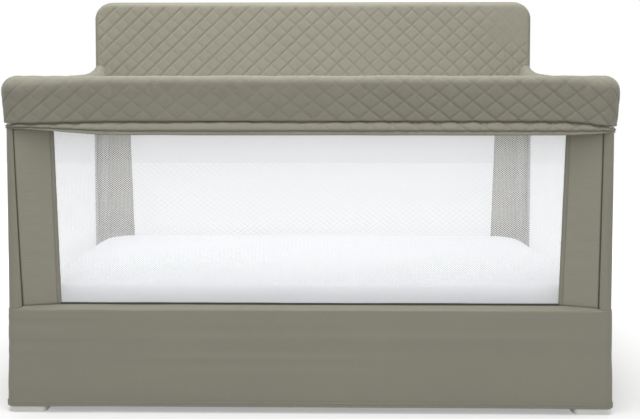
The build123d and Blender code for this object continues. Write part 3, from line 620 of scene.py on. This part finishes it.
def headboardPanel(name):
    b = board
    stepX, stepZ = b["pitchAlong"] / quilt["steps"], b["pitchUp"] / quilt["steps"]
    inner = b["halfWidth"] - b["edge"]
    angles = np.linspace(0, math.pi / 2, b["edgeSteps"] + 1)[1:]
    edgeOut = b["edge"] * np.sin(angles)
    flatX = np.arange(-int(inner / stepX), int(inner / stepX) + 1) * stepX
    x = np.concatenate([-(inner + edgeOut)[::-1], flatX, inner + edgeOut])
    columnStep = x / stepX
    frontFlat = np.arange(0, int((b["top"] - b["edge"] - b["foot"]) / stepZ) + 1) * stepZ + b["foot"]
    edgeUp = b["top"] - b["edge"] + b["edge"] * np.sin(angles)
    backFlat = np.arange(b["top"] - b["edge"], b["backFoot"], -2 * stepZ)
    z = np.concatenate([frontFlat, edgeUp, edgeUp[-2::-1], backFlat, [b["foot"]]])
    isBack = np.arange(len(z)) >= len(frontFlat) + len(edgeUp)
    columns, rows = len(x) - 1, len(z) - 1
    gridX = np.repeat(x[:, None], rows + 1, axis=1)
    topHere = boardTop(gridX)
    base = b["top"] - b["corner"] - 0.02
    squeeze = (topHere - base) / (b["top"] - base)
    gridZ = np.where(z[None] > base, base + (z[None] - base) * squeeze, z[None])
    # Distance in from the outline decides how far each face has rounded back to meet the other.
    cornerX = np.clip(np.abs(gridX) - (b["halfWidth"] - b["corner"]), 0, None)
    cornerZ = np.clip(gridZ - (b["top"] - b["corner"]), 0, None)
    inCorner = b["corner"] - np.hypot(cornerX, cornerZ)
    away = np.where((cornerX > 0) & (cornerZ > 0), inCorner,
                    np.minimum(b["halfWidth"] - np.abs(gridX), b["top"] - gridZ))
    away = np.clip(away, 0, b["edge"])
    middle = (b["front"] + b["back"]) / 2
    bulge = np.sqrt(np.clip(1 - (1 - away / b["edge"]) ** 2, 0, 1)) * (b["back"] - b["front"]) / 2
    gridY = np.where(isBack[None], middle + bulge, middle - bulge)
    gridY[:, -1] = middle
    gridRow = np.where(isBack[None], (b["top"] - z[None]) / stepZ, (z[None] - b["foot"]) / stepZ)
    gridRow = gridRow * np.ones_like(gridX)
    gridColumn = gridX / stepX
    rising = 0.55 + 0.45 * ease(-gridX, -0.3, 0.5)
    falling = 0.25 + 0.45 * ease(gridX, -0.3, 0.2)
    relief = quiltRelief(gridColumn, gridRow, rising, falling)
    inside = ease(away, 0.004, b["edge"])
    # The cloth is pulled smooth at the upper right corner.
    calm = 1 - b["calmLoss"] * ease(gridX, *b["calmAlong"]) * ease(gridZ, *b["calmUp"])
    push = b["depth"] * (relief - b["level"]) * inside * calm
    push += b["undulation"] * softNoise(gridX / 0.10, gridZ / 0.11, 9) * inside
    push += b["ridges"] * softNoise(gridX / 0.012, gridZ / 0.05, 10) * inside
    # The cloth is gathered where the side covers meet the headboard.
    (placeX, placeZ), (reachX, reachZ) = b["gatherPlace"], b["gatherReach"]
    for sign, amount in b["gathers"]:
        reach = np.hypot((sign * gridX - placeX) / reachX, (gridZ - placeZ) / reachZ)
        pull = (1 - ease(reach, 0.3, 1.0)) * inside
        lean = sign * gridX + 0.25 * (gridZ - 0.80)
        push += amount * pull * (softNoise(lean / 0.0085, gridZ / 0.075, 8) - 0.25)
    gridY = gridY + np.where(isBack[None], 1, -1) * np.minimum(push, b["mostPush"])
    places = np.stack([gridX, gridY, gridZ], axis=2)
    chart = np.stack([gridX, np.where(isBack[None], 2.2 - gridZ, gridZ)], axis=2)
    piece = tablePiece(name, places, chart)
    wholeColumn = np.rint(columnStep).astype(int)

    def sewnAt(i, j):
        if j >= len(frontFlat) - 1 or i < b["edgeSteps"] or i >= columns - b["edgeSteps"]:
            return None
        return wholeColumn[i], j

    return sewPiece(piece, gridColumn, gridRow, rising * inside * calm, falling * inside * calm, sewnAt,
                    b["mergeDistance"])


headboard = finishPiece(headboardPanel("headboardPanel"), paintedLightBoardCloth,
                        ["headboard_cover", "headboard_foam"])

# A thin round piping along the headboard's outline, in near-black cloth: painted shade for the dark line where the
# edge turns away.
shadePiping = dict(radius=0.0016, out=-0.0004, low=0.800, columns=220, around=8)


def makeShadePiping():
    b = board
    line = roundedPath([(-b["halfWidth"], shadePiping["low"]), (-b["halfWidth"], b["top"]), (b["halfWidth"], b["top"]),
                        (b["halfWidth"], shadePiping["low"])], [b["corner"]] * 2, shadePiping["columns"])
    step = np.gradient(line, axis=0)
    step /= np.linalg.norm(step, axis=1, keepdims=True)
    normal = np.column_stack([-step[:, 1], step[:, 0]])

    def place(i, j):
        angle = j / shadePiping["around"] * math.tau
        out = shadePiping["out"] + shadePiping["radius"] * np.cos(angle)
        spot = line[i] + normal[i] * out[:, None]
        y = (b["front"] + b["back"]) / 2 - shadePiping["radius"] * np.sin(angle)
        return np.column_stack([spot[:, 0], y, spot[:, 1]]), np.column_stack([i * 0.01, angle * shadePiping["radius"]])

    piece = gridPiece("headboardShadePiping", shadePiping["columns"], shadePiping["around"], place, joinEnds=0.00001)
    closeEnds(piece)
    faceOutward(piece)
    return piece


finishPiece(makeShadePiping(), seamCloth, [])
print("headboard made")

# Cloth walls: a loop round the crib, counter-clockwise from above, starting at the front left post

skirt = dict(
    bottom=0.0146, wallTop=0.2345, out=0.0198, top=0.2492, innerTop=0.0010, postGap=0.0192,
    step=0.0060, arcSteps=10, wallRows=44, shoulderRows=9, thickness=0.0008,
    hemTop=0.0246, hemOut=0.0214, flare=0.0040, hang=0.0007, creases=0.0006, gathers=0.0010, sag=0.0011,
    mostPush=0.0014, hemSwell=0.00022)


def wallLoop():
    # Round the posts and along the walls: places, outward directions, the run, and the distance to the nearest post.
    s = skirt
    corners = [(-halfX, -halfY), (halfX, -halfY), (halfX, halfY), (-halfX, halfY)]
    points, length = [], 0.0

    def add(x, y, degrees, run, fromPost):
        angle = math.radians(degrees)
        points.append((x, y, math.cos(angle), math.sin(angle), run, fromPost))

    for k, (x, y) in enumerate(corners):
        for a in range(s["arcSteps"]):
            add(x, y, 180 + 90 * k + 90 * a / s["arcSteps"], length, 0.0)
            length += s["out"] * math.pi / 2 / s["arcSteps"]
        nextX, nextY = corners[(k + 1) % 4]
        side = math.hypot(nextX - x, nextY - y)
        count = int(side / s["step"])
        for share in (a / count for a in range(count)):
            add(x + (nextX - x) * share, y + (nextY - y) * share, 270 + 90 * k, length + share * side,
                min(share, 1 - share) * side)
        length += side
    points.append((*points[0][:4], length, 0.0))
    points = np.array(points)
    return points[:, :2], points[:, 2:4], points[:, 4], points[:, 5], length


loopBase, loopOut, loopRun, loopFromPost, loopLength = wallLoop()


def skirtFlare(height):
    # The skirt hangs a little wider at its hem, and most of all at the posts.
    atPost = 1 - 0.6 * ease(loopFromPost, 0.0, 0.25)[:, None]
    return skirt["flare"] * (1 - ease(height, skirt["bottom"], skirt["wallTop"])) * atPost


def makeSkirt():
    s = skirt
    columns = len(loopRun) - 1
    rows = s["wallRows"] + s["shoulderRows"]
    post = s["postGap"]
    innerTop = np.where(loopFromPost < post, np.sqrt(np.maximum(post ** 2 - loopFromPost ** 2, 0)), 0)
    innerTop = np.maximum(innerTop, s["innerTop"])
    topHeight = s["top"] - 0.46 * (innerTop - s["innerTop"])
    wall = np.linspace(s["bottom"], s["wallTop"], s["wallRows"] + 1)
    sections = np.empty((columns + 1, rows + 1, 2))
    sections[:, :s["wallRows"] + 1, 0] = s["out"]
    sections[:, :s["wallRows"] + 1, 1] = wall[None]
    for k in range(columns + 1):
        sections[k, s["wallRows"]:, :] = roundedPath(
            [(s["out"], s["wallTop"]), (s["out"], 0.2405), (innerTop[k], topHeight[k])], [0.003], s["shoulderRows"])
    along = loopRun[:, None] * np.ones((1, rows + 1))
    height = sections[..., 1]
    share = (height - s["bottom"]) / (s["wallTop"] - s["bottom"])
    near = np.exp(-loopFromPost / 0.045)[:, None]
    hanging = softNoise(along / 0.30, height / 0.045, 2)
    push = s["hang"] * hanging * ease(share, 0.0, 0.15) * (1 - ease(share, 1.0, 1.1))
    across = softNoise(along / 0.55 + 4, height / 0.016, 5)
    push += s["creases"] * across * ease(share, 0.05, 0.2) * (1 - ease(share, 0.9, 1.0))
    gathered = softNoise(along / 0.014 - 25 * (height - 0.24), height / 0.05, 6)
    push += s["gathers"] * near * gathered * ease(share, 0.72, 0.98)
    sections[..., 0] += np.minimum(push, s["mostPush"]) * ease(share, 0.0, 0.05)
    sag = s["sag"] * softNoise(along / 0.10, along * 0, 4) * ease(share, 0.95, 1.02)
    sections[..., 1] -= np.maximum(sag, 0) * (loopFromPost[:, None] > 0.03)
    sections[..., 0] += skirtFlare(height)
    places = sweep(loopBase, loopOut, sections[..., 0], sections[..., 1])
    piece = tablePiece("skirtCloth", places, np.stack([along, height], axis=2), joinEnds=0.00002)
    giveThickness(piece, s["thickness"])
    return piece


def makeHem():
    s = skirt
    line = roundedPath([(s["out"] - 0.0002, s["bottom"]), (s["hemOut"], s["bottom"]), (s["hemOut"], s["hemTop"]),
                        (s["out"] + 0.0001, s["hemTop"] + 0.0006)], [0.0007, 0.0007], 14)
    line = np.vstack([line, [[s["out"] - 0.0002, 0.0190]], line[:1]])
    along = loopRun[:, None] * np.ones((1, len(line)))
    swell = s["hemSwell"] * softNoise(along / 0.02, along * 0 + 2, 1)
    out = line[None, :, 0] + swell * (line[None, :, 0] > s["out"] + 0.0005) + skirtFlare(line[None, :, 1])
    chart = np.stack([along, (line[None, :, 1] - s["bottom"]) * np.ones_like(out)], axis=2)
    return tablePiece("skirtHem", sweep(loopBase, loopOut, out, line[None, :, 1]), chart, joinEnds=0.00002)


skirtCloth = finishPiece(makeSkirt(), plainCloth, [f"skirt_{wall}" for wall in walls])
skirtHem = finishPiece(makeHem(), hemCloth, [])
print("skirt made")

strip = dict(
    bottom=0.2500, top=0.6597, startTop={-1: 0.0038, 1: 0.0110}, startBottom={-1: 0.0165, 1: 0.0150},
    clear=0.0184, shoulderSlope=0.45, topEnd=0.0905, bottomEnd=0.1035, sideEnd=0.0860, thickness=0.0010,
    binding=0.010, bindingThickness=0.0024, bindingWave=0.0005, bindingCrown=0.0004, bindingColumns=6,
    seamRadius=0.0012, seamColumns=6, ripple=0.0005, columns=24, rows=90)


def wallHalf(wall):
    return halfX if wall in ("front", "back") else halfY


def wallDistance(wall):
    return halfY if wall in ("front", "back") else halfX


def wallPoint(wall, along, out, height):
    # A point of a wall given along it, outward and up, as seen from outside with along running to the right.
    flat = np.stack([along, -(wallDistance(wall) + out) * np.ones_like(along), height * np.ones_like(along)], axis=-1)
    return turnPlaces(flat.reshape(-1, 3), walls[wall]).reshape(flat.shape)


def stripEnd(wall, share):
    # Distance from the post's centre to a strip's edge at the net, at a share of its height.
    if wall in ("left", "right"):
        return strip["sideEnd"] + 0 * share
    return strip["bottomEnd"] + (strip["topEnd"] - strip["bottomEnd"]) * share


def stripStart(sign, share):
    return strip["startBottom"][sign] + (strip["startTop"][sign] - strip["startBottom"][sign]) * share


def stripSurface(wall, sign, away, share):
    # The strip comes off the front of the post's sleeve and meets the net's plane at its edge.
    start, end = stripStart(sign, share), stripEnd(wall, share)
    out = np.sqrt(strip["clear"] ** 2 - start ** 2) * np.clip((end - away) / (end - start), 0, 1)
    low = strip["bottom"] - strip["shoulderSlope"] * out
    return out, low + (strip["top"] - low) * share


def stripPiece(kind, wall, sign, columns, place, thickness):
    piece = gridPiece(f"{wall}{kind}_{'right' if sign > 0 else 'left'}", columns, strip["rows"], place,
                      0.0 if thickness else 0.00001)
    if not thickness:
        closeEnds(piece)
        faceOutward(piece)
        return piece
    if sign > 0:
        flipFaces(piece)
    giveThickness(piece, thickness, 0.0)
    return piece


def makeStrip(wall, sign, layer):
    s = strip

    def place(i, j):
        share = j / s["rows"]
        away = stripStart(sign, share) + (stripEnd(wall, share) - stripStart(sign, share)) * (i / s["columns"])
        out, height = stripSurface(wall, sign, away, share)
        out = out + s["ripple"] * softNoise(away / 0.05, height / 0.018, layer) * ease(away, 0.02, 0.035)
        return wallPoint(wall, sign * (wallHalf(wall) - away), out, height), np.column_stack([away, height])

    return stripPiece("Strip", wall, sign, s["columns"], place, s["thickness"])


def makeBinding(wall, sign):
    s = strip

    def place(i, j):
        across = i / s["bindingColumns"]
        share = j / s["rows"]
        away = stripEnd(wall, share) - s["binding"] + s["binding"] * across
        out, height = stripSurface(wall, sign, away, share)
        wave = s["bindingWave"] * softNoise(away * 0 + 1.5, height / 0.012, 7)
        out = out + wave / 2 + s["bindingCrown"] * np.sin(across * math.pi)
        along = sign * (wallHalf(wall) - away - wave * across)
        return wallPoint(wall, along, out, height), np.column_stack([height, across * s["binding"]])

    return stripPiece("Binding", wall, sign, s["bindingColumns"], place, s["bindingThickness"])


def makeStripShadeLine(wall, sign):
    # A thin near-black roll along a strip's outer edge where it meets the sleeve: painted shade for the shadow gap
    # between them.
    s = strip

    def place(i, j):
        share, angle = j / s["rows"], i / s["seamColumns"] * math.tau
        away = stripStart(sign, share) - s["seamRadius"] * 0.8
        out = np.sqrt(s["clear"] ** 2 - np.minimum(away, s["clear"]) ** 2) + 0.0003
        low = s["bottom"] - s["shoulderSlope"] * out
        height = low + (s["top"] - low) * share
        along = sign * (wallHalf(wall) - away) + s["seamRadius"] * np.cos(angle)
        places = wallPoint(wall, along, out + s["seamRadius"] * np.sin(angle), height)
        return places, np.column_stack([height, angle * s["seamRadius"]])

    return stripPiece("StripShadeLine", wall, sign, s["seamColumns"], place, 0.0)


stripNodes = {
    ("front", -1): "front_left", ("front", 1): "front_right", ("back", -1): "back_right", ("back", 1): "back_left",
    ("left", -1): "back_left", ("left", 1): "front_left", ("right", -1): "front_right", ("right", 1): "back_right"}
for (wall, sign), post in stripNodes.items():
    band = finishPiece(makeStrip(wall, sign, 1), stripCloth, [f"corner_strips_{post}"])
    binding = finishPiece(makeBinding(wall, sign), bindingCloth, [])
    seam = finishPiece(makeStripShadeLine(wall, sign), seamCloth, [])
    tall = strip["top"] - strip["bottom"]
print("strips made")

sleeve = dict(bottom=0.075, top=0.6625, radius=0.0185, thickness=0.0010, columns=40, rows=96)


def makeSleeve(label, x, y, layer):
    s = sleeve

    def place(i, j):
        angle = i / s["columns"] * math.tau
        height = s["bottom"] + (s["top"] - s["bottom"]) * j / s["rows"]
        out = s["radius"] + 0.00022 * softNoise(angle * 1.4, height / 0.05, layer) - 0.0002
        places = np.column_stack([x + out * np.cos(angle), y + out * np.sin(angle), height])
        return places, np.column_stack([angle * s["radius"], height])

    piece = gridPiece(f"postSleeve_{label}", s["columns"], s["rows"], place, joinEnds=0.00002)
    giveThickness(piece, s["thickness"])
    return piece


for k, (label, x, y) in enumerate((("front_left", -halfX, -halfY), ("front_right", halfX, -halfY),
                                   ("back_left", -halfX, halfY), ("back_right", halfX, halfY))):
    piece = finishPiece(makeSleeve(label, x, y, k), plainCloth, ["post_sleeves"])
print("post sleeves made")

# Nets: two hands of flat threads, cut to the opening

net = dict(pitchAlong=0.0062, pitchUp=0.0048, thread=0.00125, apart=0.00016, bottom=0.2502, top=0.6597)
# seamTape is the tape of painted shade along each net's bottom edge.
seamTape = dict(inset=0.0200, height=0.0040, waver=0.0004, out=0.0010, thickness=0.0012, columns=80, rows=3)


def makeNet(wall):
    n = net
    low, high = (wallHalf(wall) - stripEnd(wall, share) for share in (0.0, 1.0))
    wide, tall = max(low, high), n["top"] - n["bottom"]
    angle = math.atan2(n["pitchUp"], n["pitchAlong"])
    length = tall / math.sin(angle) * 1.1
    lean = tall / math.tan(angle)
    count = int((2 * wide + 2 * lean) / n["pitchAlong"])
    hands = []
    for hand in (1, -1):
        deselect()
        bpy.ops.mesh.primitive_plane_add(size=1)
        thread = bpy.context.active_object
        thread.scale = (length, n["thread"], 1)
        bpy.ops.object.transform_apply(location=False, rotation=False, scale=True)
        thread.rotation_euler = (math.pi / 2, 0, 0)
        bpy.ops.object.transform_apply(location=False, rotation=True, scale=False)
        thread.rotation_euler = (0, -hand * angle, 0)
        thread.location = (-count / 2 * n["pitchAlong"], hand * n["apart"], (n["top"] + n["bottom"]) / 2)
        bpy.ops.object.transform_apply(location=True, rotation=True, scale=False)
        copies = thread.modifiers.new("copies", "ARRAY")
        copies.count = count
        copies.use_relative_offset = False
        copies.use_constant_offset = True
        copies.constant_offset_displace = (n["pitchAlong"], 0, 0)
        bpy.ops.object.modifier_apply(modifier="copies")
        hands.append(thread)
    deselect()
    for thread in hands:
        thread.select_set(True)
    bpy.context.view_layer.objects.active = hands[0]
    bpy.ops.object.join()
    piece = bpy.context.active_object
    piece.name = piece.data.name = f"{wall}Net"
    bpy.ops.object.mode_set(mode="EDIT")
    slope = math.atan2(high - low, tall)
    cuts = [((0, 0, n["bottom"]), (0, 0, -1)), ((0, 0, n["top"]), (0, 0, 1)),
            ((low, 0, n["bottom"]), (math.cos(slope), 0, -math.sin(slope))),
            ((-low, 0, n["bottom"]), (-math.cos(slope), 0, -math.sin(slope)))]
    for place, normal in cuts:
        bpy.ops.mesh.select_all(action="SELECT")
        bpy.ops.mesh.bisect(plane_co=place, plane_no=normal, clear_outer=True)
    bpy.ops.object.mode_set(mode="OBJECT")
    places = vertexPlaces(piece)
    places[:, 1] -= wallDistance(wall)
    setPlaces(piece, turnPlaces(places, walls[wall]))
    return piece, sum(face.area for face in piece.data.polygons), (2 * wide, tall)


def makeShadeTape(wall):
    # A tape along the net's sewn bottom edge, in near-black cloth: painted shade for the groove where the net meets
    # the skirt.
    t = seamTape
    half = wallHalf(wall) - t["inset"]

    def place(i, j):
        along, up = -half + 2 * half * i / t["columns"], j / t["rows"]
        waver = t["waver"] * softNoise(along / 0.05, along * 0 + 5, 3) * up
        height = net["bottom"] - 0.0006 + t["height"] * up + waver
        out = t["out"] + 0.0003 * softNoise(along / 0.02, along * 0, 2)
        return wallPoint(wall, along, out, height), np.column_stack([along, height])

    piece = gridPiece(f"{wall}ShadeTape", t["columns"], t["rows"], place)
    giveThickness(piece, t["thickness"], 0.0)
    return piece


for wall in walls:
    piece, area, (wide, tall) = makeNet(wall)
    finishPiece(piece, netThread, [f"net_{wall}"])
    print(wall, "net", len(piece.data.polygons), "threads, area share", round(area / wide / tall, 3))
    tape = finishPiece(makeShadeTape(wall), seamCloth, [])
print("nets made")

band = dict(
    top=0.2498, rail=0.050, casing=0.0139, casingTop=0.070, casingInset=0.0242, inset=0.0190, thickness=0.0010,
    rows=60, columns=60)


def makeLowerBand(wall):
    b = band
    half = wallHalf(wall) - b["inset"]
    turn = [(b["casing"] * math.sin(a), b["rail"] - b["casing"] * math.cos(a))
            for a in np.linspace(math.pi * 0.93, -math.pi * 0.93, 21)]
    line = roundedPath([(0.0, b["top"]), (0.0, 0.075)] + turn + [(0.0, 0.0655)], [0.0] * (len(turn) + 1), b["rows"])

    def place(i, j):
        out, height = line[b["rows"] - j, 0], line[b["rows"] - j, 1]
        along = -half + 2 * half * i / b["columns"]
        end = wallHalf(wall) - b["casingInset"]
        along = np.where(height < b["casingTop"], np.clip(along, -end, end), along)
        return wallPoint(wall, along, out, height), np.column_stack([along, j / b["rows"] * 0.27])

    piece = gridPiece(f"{wall}InnerWall", b["columns"], b["rows"], place)
    giveThickness(piece, b["thickness"], 0.0)
    return piece, 2 * half


for wall in walls:
    piece, wide = makeLowerBand(wall)
    finishPiece(piece, plainCloth, [f"lower_band_{wall}"])
print("inner walls made")

# Mattress and its fitted sheet

bed = dict(
    halfX=0.655, halfY=0.345, corner=0.090, bottom=0.1570, top=0.2963, cloth=0.0008, hemInset=0.070,
    puckers=0.0012, drift=0.0006, soft=0.0012, softDrop=0.0013, sectionRows=54, topRows=13,
    steps=(96, 24, 40, 24),  # grid steps of a long side, a corner, a short side and a corner
    # Inset and share of the height, from under the edge, up the drawn-in side and on to the crowned top.
    section=((0.030, 0.0), (0.008, 0.004), (0.0005, 0.10), (0.0, 0.28), (0.0030, 0.52), (0.0008, 0.80),
             (0.0050, 0.925), (0.020, 0.983), (0.060, 0.995), (0.150, 1.0)))


def outlinePoint(column, inset, fine):
    # The place of a column on the mattress's outline, drawn in by inset. Columns match across both middle lines.
    hx, hy, r = bed["halfX"] - inset, bed["halfY"] - inset, max(bed["corner"] - inset, 0.004)
    marks = np.concatenate([[0], np.cumsum(bed["steps"] * 2)]) // fine
    part = np.clip(np.searchsorted(marks, column, side="right") - 1, 0, 7)
    within = (column - marks[part]) / (marks[part + 1] - marks[part])
    x, y = np.zeros(len(column)), np.zeros(len(column))
    centres = [(hx - r, -hy + r), (hx - r, hy - r), (-hx + r, hy - r), (-hx + r, -hy + r)]
    starts = [(-hx + r, -hy), (hx, -hy + r), (hx - r, hy), (-hx, hy - r)]
    steps = [(2 * (hx - r), 0), (0, 2 * (hy - r)), (-2 * (hx - r), 0), (0, -2 * (hy - r))]
    for k in range(4):
        on = part == 2 * k
        x = np.where(on, starts[k][0] + steps[k][0] * within, x)
        y = np.where(on, starts[k][1] + steps[k][1] * within, y)
        on = part == 2 * k + 1
        angle = -math.pi / 2 + k * math.pi / 2 + within * math.pi / 2
        x = np.where(on, centres[k][0] + r * np.cos(angle), x)
        y = np.where(on, centres[k][1] + r * np.sin(angle), y)
    return x, y


def makeBedding(name, shrink, closed, fine):
    b = bed
    columns = 2 * sum(b["steps"]) // fine
    bottom, top = b["bottom"] + shrink, b["top"] - shrink
    tall = top - bottom
    section = list(b["section"])
    radii = [0.004, 0.006] + [0.012] * (len(section) - 4)
    if not closed:
        section, radii = [(b["hemInset"], 0.0)] + section, [0.0] + radii
    line = roundedPath([(inset + shrink, bottom + share * tall) for inset, share in section], radii, b["sectionRows"])
    spine = np.linspace(0, 1, b["topRows"] + 1)[1:]
    rows = len(line) - 1 + len(spine)

    def place(i, j):
        places = np.zeros((len(i), 3))
        for row in range(rows + 1):
            on = j == row
            here = i[on] % columns
            if row < len(line):
                inset, height = line[row]
                x, y = outlinePoint(here, inset, fine)
                heights = np.full(len(here), height)
            else:
                x, y = outlinePoint(here, line[-1][0], fine)
                inward = spine[row - len(line)]
                spineX = np.clip(x, -(b["halfX"] - b["halfY"]), b["halfX"] - b["halfY"])
                x, y = x + (spineX - x) * inward, y * (1 - inward)
                heights = np.full(len(here), line[-1][1])
            places[on] = np.column_stack([x, y, heights])
        run = (i % columns) / columns * 4 * (b["halfX"] + b["halfY"])
        level = (places[:, 2] - bottom) / tall
        overX, overY = (np.abs(places[:, k]) - b[size] + b["corner"] for k, size in ((0, "halfX"), (1, "halfY")))
        cornerness = np.exp(-((np.hypot(overX, overY) - b["corner"]) / 0.03) ** 2)
        pastX, pastY = (np.abs(places[:, k]) > b[size] - b["corner"] for k, size in ((0, "halfX"), (1, "halfY")))
        cornerness *= pastX & pastY
        ripple = b["puckers"] * softNoise(run / 0.016, level * 1.5, 6) * cornerness
        ripple *= ease(level, 0.02, 0.2) * (level < 0.99)
        drift = b["drift"] * softNoise(run / 0.11, level * 3.0, 2)
        ripple += drift * ease(level, 0.05, 0.3) * (1 - ease(level, 0.8, 0.95))
        grow = 1 - np.abs(ripple) / 0.35
        places[:, 0] *= grow
        places[:, 1] *= grow
        soft = b["soft"] * softNoise(places[:, 0] / 0.16, places[:, 1] / 0.12, 4) - b["softDrop"]
        places[:, 2] += np.where(level > 0.97, soft, 0)
        return places, np.column_stack([places[:, 0] + (1 - level) * 0.1, places[:, 1] + (1 - level) * 0.1])

    piece = gridPiece(name, columns, rows, place, joinEnds=0.0001)
    if closed:
        closeEnds(piece)
    else:
        giveThickness(piece, b["cloth"])
    return piece


mattress = finishPiece(makeBedding("mattressFoam", bed["cloth"] + 0.0006, True, 2), foam,
                       ["mattress_core"], "mattress")
fitted = finishPiece(makeBedding("fittedSheet", 0.0, False, 1), whiteSheet,
                     ["fitted_sheet"], "mattress")
print("mattress made")

# Floor, background, lamps and camera


def makeFloor():
    deselect()
    bpy.ops.mesh.primitive_plane_add(size=14, location=(0, 0, -0.0004))
    floor = bpy.context.active_object
    floor.name = "studioFloor"
    recipe = Recipe(bpy.data.materials.new("studioFloor"))
    recipe.shader.inputs["Base Color"].default_value = (*[light["floorAlbedo"]] * 3, 1)
    recipe.shader.inputs["Roughness"].default_value = 0.9
    # The floor is lifted towards white where it is seen, more so away from the crib, and keeps its shadow.
    reach = recipe.node("VectorMath", {"Vector": recipe.node("TexCoord").outputs["Object"]}, operation="LENGTH")
    lift = recipe.node("MapRange", {"Value": reach.outputs["Value"], "From Min": 0.75, "From Max": 1.7,
                                    "To Min": light["floorLift"], "To Max": light["farLift"]})
    strength = recipe.math("MULTIPLY", recipe.seenDirectly(), lift.outputs[0])
    glow = recipe.node("Emission", {"Color": (1, 1, 1, 1), "Strength": strength})
    total = recipe.node("AddShader", {0: recipe.shader.outputs[0], 1: glow.outputs[0]})
    recipe.links.new(total.outputs[0], recipe.nodes["Material Output"].inputs["Surface"])
    floor.data.materials.append(recipe.owner)


def makeWorld():
    recipe = Recipe(bpy.data.worlds.new("studioWorld"))
    bpy.context.scene.world = recipe.owner
    soft = recipe.nodes["Background"]
    soft.inputs["Color"].default_value = (*light["worldWarmth"], 1)
    soft.inputs["Strength"].default_value = light["worldStrength"]
    white = recipe.node("Background", {"Color": (1, 1, 1, 1), "Strength": 1.0})
    both = recipe.node("MixShader", {0: recipe.seenDirectly(), 1: soft.outputs[0], 2: white.outputs[0]})
    recipe.links.new(both.outputs[0], recipe.nodes["World Output"].inputs["Surface"])


def makeLamp(name, place, size, power, target=(0.0, 0.0, 0.5)):
    deselect()
    bpy.ops.object.light_add(type="AREA", location=place)
    lamp = bpy.context.active_object
    lamp.name = name
    lamp.data.shape, lamp.data.size, lamp.data.energy = "SQUARE", size, power
    aim = np.array(target) - np.array(place)
    level = math.hypot(aim[0], aim[1])
    lamp.rotation_euler = (math.atan2(level, -aim[2]), 0, math.atan2(aim[1], aim[0]) - math.pi / 2 if level else 0)


def makeCamera():
    deselect()
    bpy.ops.object.camera_add(location=camera["place"])
    eye = bpy.context.active_object
    eye.name = "photoCamera"
    eye.data.sensor_width, eye.data.lens = camera["sensor"], camera["lens"]
    eye.data.shift_x, eye.data.shift_y = camera["shiftX"], camera["shiftY"]
    eye.data.clip_start = 0.05
    turn = Matrix.Rotation(math.radians(-camera["right"]), 4, "Z")
    tilt = Matrix.Rotation(math.radians(90 - camera["down"]), 4, "X")
    eye.matrix_world = Matrix.Translation(camera["place"]) @ turn @ tilt
    bpy.context.scene.camera = eye


makeFloor()
makeWorld()
makeLamp("topLamp", light["topPlace"], light["topSize"], light["topPower"], (0.0, -0.25, 0.0))
makeLamp("frontLamp", light["frontPlace"], light["frontSize"], light["frontPower"])
makeCamera()
bpy.context.scene.view_settings.view_transform = "Standard"
print("stage, lamps and camera made")
